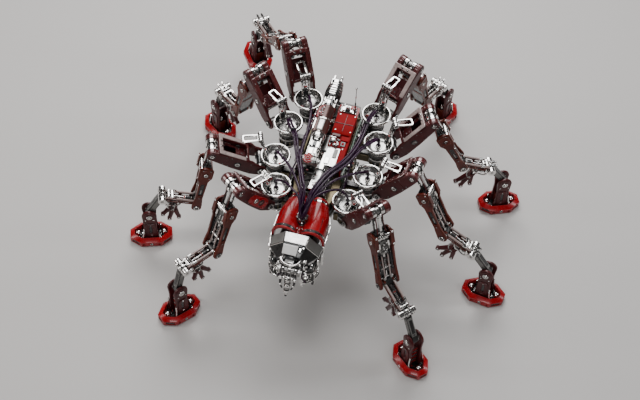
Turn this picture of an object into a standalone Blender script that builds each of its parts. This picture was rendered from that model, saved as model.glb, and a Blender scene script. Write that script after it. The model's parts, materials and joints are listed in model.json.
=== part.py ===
"""Eight-legged walking robot: thorax, head pod with jaw, long rear barrel, eight six-axis legs.

Units are metres, +Z up; the head points to -Y, so the robot's left side is +X. Dimensions are
written in mm and degrees and converted where meshes are made. The thorax is drawn round the
ground point under its middle, then the whole stance is centred on the origin, soles at Z = 0.
Every leg part is modelled in its own frame: X runs from the joint nearest the body to the next,
Y is the joint's axis, Z is the part's upper side. The same six meshes serve all eight legs.
"""

import math

import bmesh
import bpy
from mathutils import Matrix, Vector

MM = 0.001
SIDES = (-1, 1)

# ---------------------------------------------------------------- driving dimensions
GAP = 0.4                   # clearance between neighbouring parts

# legs
RING_Z = 218.0              # height of the hip rings
HIP_PIVOT = (28.0, -14.0)   # femur pivot, outboard of and below the ring centre
FEMUR = 96.0                # hip pivot to knee
TIBIA = 150.0               # knee to lower knee
SHIN = 63.0                 # lower knee to ankle hub
TARSUS = 54.0               # ankle hub to foot pivot
FOOT = 75.0                 # foot pivot to the sole
FORK = 19.0                 # inner half width of the femur fork
FEMUR_HALF = 24.0           # outer half width of the femur

# body
THORAX_TOP = 204.0          # top of the chassis, and axis height of the spine housing
DECK = THORAX_TOP + GAP     # underside of what stands on the chassis
HOUSING_RADIUS = 27.0
HOUSING_SIDES = 24
PLUG_Y = -164.0             # cable plug, on the centre line
JAW_PIVOT = (0.0, -240.0, 172.0)
BARREL_PIVOT = (-17.0, -62.0, 252.0)

# name, hip x, hip y, heading, then the pitch of femur, tibia, shin, tarsus and foot;
# a tarsus pitch of None puts the foot on the ground
LEGS = (
    ("L1", 64.0, -105.0, -42.1, 56.0, -70.2, -20.2, None, -90.0),
    ("L2", 84.0, -40.0, -8.2, 52.8, -63.3, -27.1, None, -90.0),
    ("L3", 84.0, 40.0, 23.9, 49.1, -62.7, -22.7, None, -90.0),
    ("L4", 64.0, 105.0, 66.8, 41.8, -69.7, -5.8, None, -90.0),
    ("R1", -64.0, -105.0, 230.9, 51.6, -72.0, -8.4, None, -90.0),
    ("R2", -84.0, -40.0, 200.8, 28.9, -77.3, 16.6, None, -90.0),
    ("R3", -84.0, 40.0, 143.7, 44.8, -72.4, -1.1, None, -90.0),
    ("R4", -64.0, 105.0, 126.5, 58.3, -38.0, -14.2, -77.8, -82.6),
)

for old in list(bpy.data.objects):
    bpy.data.objects.remove(old, do_unlink=True)

robot = bpy.data.collections.new("spider_robot")
helpers = bpy.data.collections.new("helpers")
bpy.context.scene.collection.children.link(robot)
bpy.context.scene.collection.children.link(helpers)
helpers.hide_render = True


# ---------------------------------------------------------------- materials
def material(name, colour, roughness, metallic):
    made = bpy.data.materials.new(name)
    made.use_nodes = True
    inputs = made.node_tree.nodes["Principled BSDF"].inputs
    inputs["Base Color"].default_value = (*colour, 1.0)
    inputs["Roughness"].default_value = roughness
    inputs["Metallic"].default_value = metallic
    return made


MAROON = material("maroon_paint", colour=(0.10, 0.018, 0.018), roughness=0.35, metallic=0.4)
RED = material("red_paint", colour=(0.48, 0.012, 0.012), roughness=0.3, metallic=0.1)
CHROME = material("chrome_plate", colour=(0.80, 0.80, 0.78), roughness=0.08, metallic=1.0)
STEEL = material("dark_steel", colour=(0.10, 0.10, 0.10), roughness=0.3, metallic=1.0)
BLACK = material("cable_sleeve", colour=(0.02, 0.01, 0.02), roughness=0.4, metallic=0.0)
GREEN = material("board_green", colour=(0.02, 0.12, 0.05), roughness=0.5, metallic=0.0)


# ---------------------------------------------------------------- meshes and booleans
def new_object(name, data):
    obj = bpy.data.objects.new(name, data)
    helpers.objects.link(obj)
    return obj


def from_bmesh(name, solid):
    """An object from a closed bmesh, with its faces turned outwards."""
    bmesh.ops.recalc_face_normals(solid, faces=solid.faces)
    if solid.calc_volume(signed=True) < 0:
        bmesh.ops.reverse_faces(solid, faces=solid.faces)
    mesh = bpy.data.meshes.new(name)
    solid.to_mesh(mesh)
    solid.free()
    return new_object(name, mesh)


def evaluated_mesh(obj):
    bpy.context.view_layer.update()
    graph = bpy.context.evaluated_depsgraph_get()
    return bpy.data.meshes.new_from_object(obj.evaluated_get(graph))


def baked_bmesh(obj):
    """The object's evaluated shape, welded; the object itself is removed."""
    mesh = evaluated_mesh(obj)
    bpy.data.objects.remove(obj)
    solid = bmesh.new()
    solid.from_mesh(mesh)
    bpy.data.meshes.remove(mesh)
    bmesh.ops.remove_doubles(solid, verts=solid.verts, dist=1e-6)
    return solid


def boolean(obj, others, operation):
    for other in others:
        modifier = obj.modifiers.new(operation, "BOOLEAN")
        modifier.operation = operation
        modifier.solver = "EXACT"
        modifier.object = other
    mesh = evaluated_mesh(obj)
    obj.modifiers.clear()
    obj.data = mesh
    for other in others:
        bpy.data.objects.remove(other, do_unlink=True)
    return obj


def join(first, *others):
    return boolean(first, others, "UNION")


def cut(first, *others):
    return boolean(first, others, "DIFFERENCE")


def tidy(obj, look):
    """Flat faces merged, tiny edges removed, round faces shaded smooth, one material."""
    mesh = obj.data
    solid = bmesh.new()
    solid.from_mesh(mesh)
    bmesh.ops.remove_doubles(solid, verts=solid.verts, dist=2e-6)
    bmesh.ops.dissolve_limit(
        solid, angle_limit=math.radians(0.5), verts=solid.verts, edges=solid.edges,
    )
    bmesh.ops.triangulate(solid, faces=solid.faces)
    solid.to_mesh(mesh)
    solid.free()
    mesh.shade_smooth()
    mesh.set_sharp_from_angle(angle=math.radians(35))
    mesh.materials.clear()
    mesh.materials.append(look)
    return mesh


def finish(name, obj, look):
    """The finished piece, moved to the robot's collection."""
    tidy(obj, look)
    helpers.objects.unlink(obj)
    robot.objects.link(obj)
    obj.name = name
    return obj


def prototype(obj, look):
    """A finished mesh without an object, to be shared by the legs."""
    mesh = tidy(obj, look)
    bpy.data.objects.remove(obj)
    return mesh


# ---------------------------------------------------------------- basic shapes, in mm
def box(x0, x1, y0, y1, z0, z1):
    solid = bmesh.new()
    bmesh.ops.create_cube(solid, size=1.0)
    for vert in solid.verts:
        vert.co = Vector((
            (x0 + x1) / 2 + vert.co.x * (x1 - x0),
            (y0 + y1) / 2 + vert.co.y * (y1 - y0),
            (z0 + z1) / 2 + vert.co.z * (z1 - z0),
        )) * MM
    return from_bmesh("box", solid)


def cylinder(start, end, radius, sides=12, end_radius=None):
    """A cylinder or cone between two points."""
    start, end = Vector(start) * MM, Vector(end) * MM
    solid = bmesh.new()
    bmesh.ops.create_cone(
        solid, cap_ends=True, segments=sides, radius1=radius * MM,
        radius2=(radius if end_radius is None else end_radius) * MM,
        depth=(end - start).length,
    )
    turn = (end - start).to_track_quat("Z", "Y").to_matrix().to_4x4()
    solid.transform(Matrix.Translation((start + end) / 2) @ turn)
    return from_bmesh("cylinder", solid)


def pin(x, z, radius, half, sides=12):
    """A cylinder along a leg joint's axis, Y, centred on the part."""
    return cylinder((x, -half, z), (x, half, z), radius, sides)


def sleeve_pair(x, z, radius, near, far, sides=12):
    """Two cylinders along Y, one on each side of the part."""
    return [
        cylinder((x, side * near, z), (x, side * far, z), radius, sides) for side in SIDES
    ]


def cross_shaft(x0, x1, y, z, radius, sides):
    """A cylinder along X."""
    return cylinder((x0, y, z), (x1, y, z), radius, sides)


def arc(centre_u, centre_v, radius, start, end, steps):
    """Points on a circle from start to end, in degrees."""
    angles = [math.radians(start + (end - start) * i / steps) for i in range(steps + 1)]
    return [
        (centre_u + radius * math.cos(angle), centre_v + radius * math.sin(angle))
        for angle in angles
    ]


def mirrored(right):
    """A closed outline from its +X half."""
    return list(right) + [(-x, v) for x, v in reversed(right)]


def polyline(points, dimensions):
    """A curve object and its spline through 3D points in metres."""
    curve = bpy.data.curves.new("polyline", "CURVE")
    curve.dimensions = dimensions
    spline = curve.splines.new("POLY")
    spline.points.add(len(points) - 1)
    for knot, point in zip(spline.points, points):
        knot.co = (*point, 1.0)
    return new_object("polyline", curve), spline


# plane of a plate: its normal, and the turn that brings a drawing in XY into it
PLANES = {
    "XZ": (Vector((0, 1, 0)), Matrix.Rotation(math.pi / 2, 4, "X")),
    "XY": (Vector((0, 0, 1)), Matrix.Identity(4)),
    "YZ": (
        Vector((1, 0, 0)),
        Matrix(((0, 0, 1, 0), (1, 0, 0, 0), (0, 1, 0, 0), (0, 0, 0, 1))),
    ),
}


def outline(points, low, high, plane="XZ"):
    """A flat plate from points in a plane, reaching from low to high on the third axis."""
    obj, spline = polyline([(u * MM, v * MM, 0.0) for u, v in points], "2D")
    spline.use_cyclic_u = True
    obj.data.fill_mode = "BOTH"
    obj.data.extrude = (high - low) / 2 * MM
    solid = baked_bmesh(obj)
    bmesh.ops.dissolve_limit(solid, angle_limit=0.001, verts=solid.verts, edges=solid.edges)
    normal, turn = PLANES[plane]
    solid.transform(Matrix.Translation(normal * ((low + high) / 2 * MM)) @ turn)
    return from_bmesh("plate", solid)


def plate_pair(points, near, far, plane="XZ"):
    """Two equal plates, from near to far on either side of the plane."""
    return [outline(points, *sorted((side * near, side * far)), plane) for side in SIDES]


def lathe(profile, sides, place=Matrix.Identity(4)):
    """A turned shape about Z from (radius, height) points that run down the outer side."""
    mesh = bpy.data.meshes.new("profile")
    edges = [(i, i + 1) for i in range(len(profile) - 1)]
    mesh.from_pydata([(radius * MM, 0, z * MM) for radius, z in profile], edges, [])
    obj = new_object("profile", mesh)
    screw = obj.modifiers.new("Screw", "SCREW")
    screw.steps = screw.render_steps = sides
    screw.use_merge_vertices = True
    screw.merge_threshold = 0.00001
    screw.use_smooth_shade = False
    solid = baked_bmesh(obj)
    solid.transform(place)
    return from_bmesh("lathe", solid)


# ---------------------------------------------------------------- leg parts
# (radius, height) of the hip ring, the bowl below it and its hub
COXA_PROFILE = (
    (0, -9.5), (10, -9.5), (22.2, 0.2), (24.4, 2.4), (26.6, 0.2), (24.4, -2.6),
    (15.0, -11.0), (13.5, -22.5), (0, -22.5),
)


def make_coxa():
    """Ring and hub on the thorax, arm to the femur's pin, mast with a stirrup over the femur."""
    pivot_x, pivot_z = HIP_PIVOT
    shaft_half = FEMUR_HALF + 2.6
    body = lathe(COXA_PROFILE, 16)
    arm = box(6, pivot_x - 2, -11, 11, -21.5, -8.0)
    eye = pin(pivot_x, pivot_z, 8.0, FORK - 0.6)
    shaft = pin(pivot_x, pivot_z, 4.0, shaft_half, 10)
    heads = sleeve_pair(pivot_x, pivot_z, 6.6, FEMUR_HALF + GAP, shaft_half, 8)
    gland = cylinder((0, 0, -12), (0, 0, -5.0), 4.6, 8)
    body = join(body, arm, eye, shaft, gland, *heads)

    mast_top = 50
    masts = plate_pair([(11.5, -9), (16.5, -9), (28, mast_top), (25, mast_top)], 4.2, 7.6)
    barrel = pin(26.5, mast_top, 4.6, 10, 10)
    stirrup_edge = [(27, -8.2), (55, -8.2), (59.5, -5), (59.5, 5), (55, 8.2), (27, 8.2)]
    stirrup = outline(stirrup_edge, 47.2, 50.4, "XY")
    stirrup = cut(stirrup, box(22, 55.5, -5.0, 5.0, 40, 60))
    return join(body, *masts, barrel, stirrup)


def make_femur():
    """Two side plates tied by an open web above, a belly plate below, and pins."""
    edge = arc(0, 0, 11, 110, 270, 5)
    edge += [(16, -15.5), (50, -14.5), (78, -12)]
    edge += arc(FEMUR, 0, 10, -80, 85, 5)
    edge += [(60, 15.5), (23, 15.0), (14, 10.6)]
    plates = plate_pair(edge, FORK, FEMUR_HALF)
    # whatever ties the plates runs this far out, into the plates
    tie_half = FORK + 1
    web = box(27, 86, -tie_half, tie_half, 9.0, 13.0)
    web = cut(web, box(36, 80, -12.5, 12.5, 0, 20))
    belly = box(20, 66, -tie_half, tie_half, -11.5, -8.5)
    knee_pin = pin(FEMUR, 0, 4.5, tie_half, 10)
    knuckles = sleeve_pair(FEMUR, 0, 8.0, 12.6, tie_half)
    tie = pin(44, -2, 3.6, FEMUR_HALF + 1.4, 8)
    body = join(plates[0], web, belly, knee_pin, plates[1], tie, *knuckles)
    hip_bore = pin(0, 0, 4.5, FEMUR_HALF + 10, 10)
    return cut(body, hip_bore)


def make_tibia():
    """A tongue at the knee, opening into a fork of two plates round a piston."""
    tongue_edge = arc(0, 0, 9, 60, 300, 8) + [(20, -6.5), (54, -7.5), (54, 7.5), (20, 6.5)]
    tongue = outline(tongue_edge, -12, 12)
    fork_edge = [(42, -5.5), (46, -10.5), (62, -12.5), (92, -8.5)]
    fork_edge += arc(TIBIA, 0, 8.5, -85, 85, 5)
    fork_edge += [(100, 9.0), (70, 11.0), (48, 9.5), (42, 5.5)]
    plates = plate_pair(fork_edge, 15.0, 20.5)
    tie_half = 16
    cross_x = 104
    block = box(44, 56, -tie_half, tie_half, -6, 6)
    cross = pin(cross_x, 0, 4.5, tie_half, 8)
    piston = cylinder((52, 0, 1), (cross_x, 0, 0), 5.0, 8)
    pivot = pin(TIBIA, 0, 4.0, 22.6, 10)
    collars = sleeve_pair(TIBIA, 0, 6.5, 10.8, tie_half, 10)
    body = join(tongue, block, *plates, cross, piston, pivot, *collars)
    knee_bore = pin(0, 0, 5.0, 30, 10)
    return cut(body, knee_bore)


# (x, z) round the two-pronged claw plate that hangs below the shin
CLAW_OUTLINE = (
    (33, -2), (30, -14), (29, -30), (18, -50), (12, -58), (16, -63), (24, -56), (31, -44),
    (31, -60), (30, -70), (36, -71), (37, -60), (37, -44), (43, -52), (49, -62), (53, -58),
    (47, -46), (42, -32), (45, -14), (47, -2),
)


def make_shin():
    """Two rails on a web, hub at one end, barrels at the other, claw plate below."""
    rail_near, rail_far = 6.6, 10.2
    rail_edge = [(-3, -5), (SHIN, -5), (SHIN + 3, 0), (SHIN, 5), (-3, 5)]
    rails = plate_pair(rail_edge, rail_near, rail_far)
    hub = pin(0, 0, 7.6, rail_far)
    web = box(5, 50, -7, 7, -3.5, 2.0)
    barrels = sleeve_pair(SHIN, 0, 7.0, rail_near, 14.0)
    ankle_pin = pin(SHIN, 0, 3.2, 8, 8)
    claw = outline(CLAW_OUTLINE, -2.6, 2.6)
    body = join(web, *rails, hub, ankle_pin, claw, *barrels)
    knee_bore = pin(0, 0, 4.5, 20, 10)
    return cut(body, knee_bore)


def make_tarsus():
    """Round-ended link with a bore at each end."""
    edge = arc(0, 0, 7.0, 80, 280, 6) + arc(TARSUS, 0, 7.0, -80, 80, 6)
    bores = [pin(x, 0, 3.9, 12, 8) for x in (0, TARSUS)]
    return cut(outline(edge, -6.0, 6.0), *bores)


FOOT_LONG, FOOT_WIDE = 39, 24.5     # half sizes of the foot, along Z and along Y
# (z, y) of the foot's eight corners
FOOT_OUTLINE = (
    (FOOT_LONG, 9.5), (19, FOOT_WIDE), (-19, FOOT_WIDE), (-FOOT_LONG, 9.5),
    (-FOOT_LONG, -9.5), (-19, -FOOT_WIDE), (19, -FOOT_WIDE), (FOOT_LONG, -9.5),
)
SWAP_X_Z = Matrix(((0, 0, 1, 0), (0, 1, 0, 0), (1, 0, 0, 0), (0, 0, 0, 1)))


def foot_prism(inset, near, far):
    """An eight-sided prism across the foot: its long side is the part's Z, its height is X."""
    scale_long = (FOOT_LONG - inset) / FOOT_LONG
    scale_wide = (FOOT_WIDE - inset) / FOOT_WIDE
    points = [(along * scale_long, across * scale_wide) for along, across in FOOT_OUTLINE]
    body = outline(points, near, far, "XY")
    # swapping two axes turns the faces inside out, so they are flipped back
    body.data.transform(SWAP_X_Z)
    body.data.flip_normals()
    return body


def bevel_rim(obj, rim_x):
    """Chamfer the outer edges of the foot at rim_x."""
    solid = bmesh.new()
    solid.from_mesh(obj.data)
    rim = [
        edge for edge in solid.edges
        if all(abs(vert.co.x - rim_x * MM) < 1e-6 for vert in edge.verts)
        and len(edge.link_faces) == 2 and abs(edge.calc_face_angle(0.0)) > 0.5
    ]
    bmesh.ops.bevel(solid, geom=rim, offset=4.5 * MM, segments=1, affect="EDGES")
    solid.to_mesh(obj.data)
    solid.free()


def make_foot():
    """Eight-sided tray, open towards the ankle, with two cheeks up to the foot pivot."""
    rim_x = FOOT - 17
    tray = foot_prism(0, rim_x, FOOT)
    bevel_rim(tray, rim_x)
    tray = cut(tray, foot_prism(7.5, FOOT - 30, FOOT - 5))
    cheek = arc(0, 0, 14, 80, 280, 6)
    cheek += [(40, -12.5), (FOOT - 4, -15), (FOOT - 4, 15), (40, 12.5)]
    cheeks = plate_pair(cheek, 8.0, 14.0)
    return join(tray, *cheeks, pin(0, 0, 3.2, 9, 8))


LEG_MESHES = {
    "coxa": prototype(make_coxa(), CHROME),
    "femur": prototype(make_femur(), MAROON),
    "tibia": prototype(make_tibia(), MAROON),
    "shin": prototype(make_shin(), MAROON),
    "tarsus": prototype(make_tarsus(), STEEL),
    "foot": prototype(make_foot(), RED),
}


# ---------------------------------------------------------------- legs, placed joint by joint
def joint(name, parent, location, rotation=(0, 0, 0)):
    """An empty on a joint's axis."""
    empty = bpy.data.objects.new(name, None)
    robot.objects.link(empty)
    empty.parent = parent
    empty.location = [v * MM for v in location]
    empty.rotation_euler = [math.radians(angle) for angle in rotation]
    return empty


def grounded_pitch(femur, tibia, shin):
    """The tarsus pitch that sets an upright foot on the ground, from the other pitches."""
    ankle_height = (
        RING_Z + HIP_PIVOT[1] + FEMUR * math.sin(math.radians(femur))
        + TIBIA * math.sin(math.radians(tibia)) + SHIN * math.sin(math.radians(shin))
    )
    return math.degrees(math.asin((FOOT - ankle_height) / TARSUS))


def place_leg(leg, x, y, heading, femur, tibia, shin, tarsus, foot):
    if tarsus is None:
        tarsus = grounded_pitch(femur, tibia, shin)
    # joint, part that turns on it, place on the parent, rotation
    chain = (
        ("hip", "coxa", (x, y, RING_Z), (0, 0, heading)),
        ("femur", "femur", (HIP_PIVOT[0], 0, HIP_PIVOT[1]), (0, -femur, 0)),
        ("knee", "tibia", (FEMUR, 0, 0), (0, femur - tibia, 0)),
        ("shin", "shin", (TIBIA, 0, 0), (0, tibia - shin, 0)),
        ("tarsus", "tarsus", (SHIN, 0, 0), (0, shin - tarsus, 0)),
        ("foot", "foot", (TARSUS, 0, 0), (0, tarsus - foot, 0)),
    )
    axis = None
    for joint_name, part_name, location, rotation in chain:
        axis = joint(f"{joint_name}_axis_{leg}", axis, location, rotation)
        part = bpy.data.objects.new(f"{part_name}_{leg}", LEG_MESHES[part_name])
        robot.objects.link(part)
        part.parent = axis


for leg_row in LEGS:
    place_leg(*leg_row)


# ---------------------------------------------------------------- thorax
def make_chassis():
    """Central box with eight hip drums on short arms."""
    half = [(34, -118), (44, -70), (44, 70), (34, 118)]
    core = outline(mirrored(half), 158, THORAX_TOP, "XY")
    parts = []
    for _, x, y, *_ in LEGS:
        side = 1 if x > 0 else -1
        x0, x1 = sorted((side * 28, x - side * 8))
        parts.append(box(x0, x1, y - 8.5, y + 8.5, 166, 186))
        parts.append(cylinder((x, y, 157), (x, y, RING_Z - 23.0), 16.0))
    keel = outline([(-90, 160), (-70, 146), (70, 146), (90, 160)], -18, 18, "YZ")
    return join(core, keel, *parts)


def make_spine_housing():
    """Half-round housing on top of the thorax."""
    ends = ((0, -106, THORAX_TOP), (0, 96, THORAX_TOP))
    round_top = cylinder(*ends, HOUSING_RADIUS, HOUSING_SIDES)
    return cut(round_top, box(-40, 40, -120, 120, 160, DECK))


def make_control_board():
    """Board with feet and two chips, standing along the left side of the thorax."""
    board = box(40.6, 42.4, -56, 82, DECK, 224)
    feet = [box(37.5, 43.5, y, y + 6, DECK, 210) for y in (-50, 16, 72)]
    chips = [box(42, 44.4, -30, -14, 212, 220), box(42, 44.4, 40, 62, 210, 219)]
    return join(board, *feet, *chips)


# ---------------------------------------------------------------- head
def hood_section(inset, floor):
    """(x, z) outline of two humps with a valley between them."""
    edge_x = 45.5 - inset
    right = [(edge_x, floor), (edge_x, 204)]
    right += arc(24, 205, 21.5 - inset, 8, 150, 7)
    right += [(4.5, 214.5 - inset)]
    return mirrored(right)


def make_hood():
    """Red shell over the neck, open below and behind, with a hole for the cable plug."""
    outer = outline(hood_section(0, 190), -193, -113)
    inner = outline(hood_section(3.0, 180), -190, -100)
    shell = cut(outer, inner)
    # room for the front hip rings
    notches = [
        cylinder((side * 64, -105, 180), (side * 64, -105, 240), 30.0, 24) for side in SIDES
    ]
    plug_hole = cylinder((0, PLUG_Y, 200), (0, PLUG_Y, 240), 10.2)
    return cut(shell, plug_hole, *notches)


# y, then the (x, z) points of the section's +X half from top to bottom
POD_SECTIONS = (
    (-195.0, ((20, 217), (48, 194), (48, 172), (24, 156))),
    (-212.0, ((19, 211), (45, 188), (43, 168), (22, 155))),
    (-228.0, ((12, 197), (30, 182), (28, 168), (14, 160))),
)


def make_pod():
    """The faceted shell of the head, skinned over its sections."""
    solid = bmesh.new()
    rings = []
    for y, half in POD_SECTIONS:
        rings.append([solid.verts.new((x * MM, y * MM, z * MM)) for x, z in mirrored(half)])
    for back, front in zip(rings, rings[1:]):
        for i in range(len(back)):
            j = (i + 1) % len(back)
            solid.faces.new((back[i], back[j], front[j], front[i]))
    solid.faces.new(list(reversed(rings[0])))
    solid.faces.new(rings[-1])
    return from_bmesh("pod", solid)


def make_head():
    """Faceted pod in front of the hood, on a neck beam that reaches the thorax."""
    _, y, z = JAW_PIVOT
    pod = make_pod()
    neck = box(-24, 24, -200, -118.5, 166, 189.6)
    collar = box(-34, 34, -188, -150, 160, 189.6)
    plug_seat = cylinder((0, PLUG_Y, 186), (0, PLUG_Y, 208), 7.0, 8)
    lugs = [
        box(side * 16 - 2.5, side * 16 + 2.5, y - 8, y + 18, z - 9, z + 9) for side in SIDES
    ]
    pod = join(pod, neck, collar, plug_seat, *lugs)
    return cut(pod, cross_shaft(-30, 30, y, z, 3.6, 10))


# (y, z) round a mandible, from the jaw pivot
MANDIBLE = (
    (4, -3), (-8, -8), (-22, -22), (-26, -40), (-21, -41), (-14, -26), (-2, -16), (6, -12),
)


def make_jaw():
    """Jaw carrier on a cross pin: a centre stalk with a tool tip and two curved mandibles."""
    _, y, z = JAW_PIVOT
    barrel = cross_shaft(-12.8, 12.8, y, z, 7.0, 12)
    shaft = cross_shaft(-20, 20, y, z, 3.0, 8)
    heads = [cross_shaft(side * 19.0, side * 21.5, y, z, 5.0, 8) for side in SIDES]
    stalk = cylinder((0, y - 2, z - 2), (0, y - 18, z - 34), 4.2, 8)
    tip = cylinder((0, y - 17, z - 30), (0, y - 25, z - 48), 5.5, 8, end_radius=3.0)
    arms = plate_pair([(y + dy, z + dz) for dy, dz in MANDIBLE], 8.0, 12.5, "YZ")
    return join(barrel, shaft, stalk, tip, *heads, *arms)


# ---------------------------------------------------------------- barrel
def make_cradle():
    """Bracket that carries the barrel's pivot on the spine housing."""
    x, y, z = BARREL_PIVOT
    near, far = 12.6, 16
    base = box(x - far, x + far, y - 14, y + 22, 231.6, 236)
    ear = [(y - 11, 234), (y + 11, 234)] + arc(y, z, 7.5, 0, 180, 6)
    ears = [
        outline(ear, x + low, x + high, "YZ") for low, high in ((-far, -near), (near, far))
    ]
    shaft = cross_shaft(x - 17.5, x + 17.5, y, z, 3.2, 8)
    return join(base, ears[0], shaft, ears[1])


# (radius, distance behind the pivot), from the far end back to the pivot
BARREL_PROFILE = (
    (0, 190), (9, 190), (12, 186), (14, 180), (14, 168), (11.5, 166), (11.5, 150),
    (9.5, 148), (9.5, 128), (12.5, 126), (12.5, 60), (10, 57), (10, 44), (8.5, 42),
    (8.5, 12), (0, 12),
)


def make_barrel():
    """Long barrel lying along +Y: pivot eye, breech block, banded tube and two prongs."""
    x, y, z = BARREL_PIVOT
    turn = Matrix.Translation((x * MM, y * MM, z * MM)) @ Matrix.Rotation(-math.pi / 2, 4, "X")
    tube = lathe(BARREL_PROFILE, 14, turn)
    eye = cross_shaft(x - 12, x + 12, y, z, 8.5, 12)
    breech = box(x - 9, x + 9, y + 4, y + 42, z - 7, z + 7)
    prongs = [
        cylinder((x + dx, y + 184, z + 3), (x + dx, y + 204, z + 3), 2.2, 6) for dx in (-6, 6)
    ]
    body = join(tube, breech, eye, *prongs)
    return cut(body, cross_shaft(x - 20, x + 20, y, z, 3.7, 8))


# ---------------------------------------------------------------- cover, tail and antenna
# (y, z) round the cover's stepped top
COVER_TOP = (
    (-47, 229), (70, 229), (70, 243), (24, 241.5), (21, 237), (-2, 236), (-4, 232.8),
    (-47, 231.5),
)


def make_cover():
    """Red cover left of the barrel: stepped sloping top, side wall down to the thorax."""
    outer_x = 36.5
    top = outline(COVER_TOP, 0.0, outer_x, "YZ")
    wall = outline([(-47, 206), (70, 206), (70, 238), (-47, 231)], 33.0, outer_x, "YZ")
    ends = ((0, -130, THORAX_TOP), (0, 130, THORAX_TOP))
    return cut(join(top, wall), cylinder(*ends, HOUSING_RADIUS + 0.6, HOUSING_SIDES))


def make_tail():
    """Tail fitting on the rear of the housing, seat of the antenna."""
    block = box(-2, 36, 71, 94, 231.8, 239)
    rail = box(2, 32, 76, 90, 238, 244)
    knob = cylinder((16, 80, 240), (16, 80, 250), 4.5, 10)
    plate = box(-30, 36, 97, 101, 206, 236)
    bridge = box(-2, 36, 90, 98, 231.8, 236)
    return join(block, rail, knob, bridge, plate)


def make_antenna():
    """Conical base, thin whip and round tip."""
    x, y = 28, 84
    base = cylinder((x, y, 244.4), (x, y, 252), 3.2, 8, end_radius=1.6)
    whip = cylinder((x, y, 250), (x, y, 296), 0.9, 6)
    tip = cylinder((x, y, 293), (x, y, 299), 2.0, 8)
    return join(base, whip, tip)


# ---------------------------------------------------------------- cables
RIGHT_SPREAD = 7    # how much further out the long cables run on the right side
# by leg number from the front: way points as distance from the centre line,
# share of RIGHT_SPREAD, y, z
CABLE_ROUTES = {
    "1": ((36, 0, -143, 250),),
    "2": ((27, 0, -143, 254), (54, 0.5, -100, 249), (72, 0, -64, 241)),
    "3": ((20, 0, -141, 257), (43, 1, -92, 252), (57, 1, -30, 246), (73, 0, 14, 240)),
    "4": (
        (13, 0, -139, 260), (33, 1, -94, 255), (42, 1, -30, 248), (47, 1, 40, 246),
        (55, 0, 84, 240),
    ),
}


def cable_path(order, leg, hip_x, hip_y):
    """Points from the plug to a hip ring's centre; order counts round the plug."""
    side = 1 if hip_x > 0 else -1
    spread = 0 if hip_x > 0 else RIGHT_SPREAD
    turn = math.radians(-67.5 + 45 * order)
    around = Vector((math.cos(turn), math.sin(turn), 0))
    plug = Vector((0, PLUG_Y, 0))
    points = [plug + around * 6.4 + Vector((0, 0, 222)), plug + around * 11 + Vector((0, 0, 239))]
    for out, share, y, z in CABLE_ROUTES[leg[-1]]:
        points.append(Vector((side * (out + share * spread), y, z)))
    points.append(Vector((hip_x - side * 3, hip_y - 5, RING_Z + 14)))
    points.append(Vector((hip_x, hip_y, RING_Z - 3.9)))
    return points


def smooth_path(points, steps):
    """A Catmull-Rom curve through the points."""
    path = []
    padded = [points[0] * 2 - points[1], *points, points[-1] * 2 - points[-2]]
    for i in range(1, len(padded) - 2):
        before, start, end, after = padded[i - 1:i + 3]
        for k in range(steps):
            t = k / steps
            path.append(0.5 * (
                (2 * start) + (end - before) * t
                + (2 * before - 5 * start + 4 * end - after) * t * t
                + (3 * start - before - 3 * end + after) * t ** 3
            ))
    path.append(points[-1])
    return path


def make_cable(points):
    obj, _ = polyline([point * MM for point in smooth_path(points, 2)], "3D")
    obj.data.bevel_depth = 2.3 * MM
    obj.data.bevel_resolution = 1
    obj.data.use_fill_caps = True
    return from_bmesh("cable", baked_bmesh(obj))


def make_loom():
    """Eight cables from one plug in the hood's valley, one to each hip ring."""
    plug = cylinder((0, PLUG_Y, 208 + GAP), (0, PLUG_Y, 228), 9.4)
    # round the plug: left legs front to rear, then right legs rear to front
    left = [row for row in LEGS if row[1] > 0]
    right = [row for row in reversed(LEGS) if row[1] < 0]
    cables = [
        make_cable(cable_path(order, leg, x, y))
        for order, (leg, x, y, *_) in enumerate(left + right)
    ]
    return join(plug, *cables)


# ---------------------------------------------------------------- assembly
def hang(obj, axis_name, pivot):
    """Put a piece's origin on its pivot and parent it to an empty there."""
    axis = joint(axis_name, None, pivot)
    obj.data.transform(Matrix.Translation(-Vector(axis.location)))
    obj.parent = axis


def centre_over_origin():
    """Move the stance so that its bounding box is centred in X and Y and stands on Z = 0."""
    bpy.context.view_layer.update()
    corners = [
        obj.matrix_world @ vert.co
        for obj in robot.objects if obj.type == "MESH"
        for vert in obj.data.vertices
    ]
    xs, ys, zs = zip(*corners)
    shift = Vector((-(min(xs) + max(xs)) / 2, -(min(ys) + max(ys)) / 2, -min(zs)))
    for obj in robot.objects:
        if obj.parent is None:
            obj.location += shift
    bpy.context.view_layer.update()


finish("chassis", make_chassis(), STEEL)
finish("spine_housing", make_spine_housing(), CHROME)
finish("control_board", make_control_board(), GREEN)
finish("hood_shell", make_hood(), RED)
finish("head_pod", make_head(), CHROME)
hang(finish("jaw", make_jaw(), CHROME), "jaw_axis", JAW_PIVOT)
finish("barrel_cradle", make_cradle(), STEEL)
hang(finish("rear_barrel", make_barrel(), CHROME), "barrel_axis", BARREL_PIVOT)
finish("side_cover", make_cover(), RED)
finish("tail_block", make_tail(), CHROME)
finish("antenna", make_antenna(), STEEL)
finish("cable_loom", make_loom(), BLACK)
centre_over_origin()
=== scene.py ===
"""Looks of an eight-legged robot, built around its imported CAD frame.

Shapes are drawn in millimetres. A leg piece is drawn once in its own part's frame (X towards the
next joint, Y along the joint's axis, Z up) and shared by all eight legs. Body pieces are drawn in
the thorax frame: the head is at -Y, the L legs are at +X and Z is up.
"""

import itertools
import json
import math
import random
from contextlib import contextmanager

import bmesh
import bpy
from mathutils import Matrix, Vector, geometry


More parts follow.
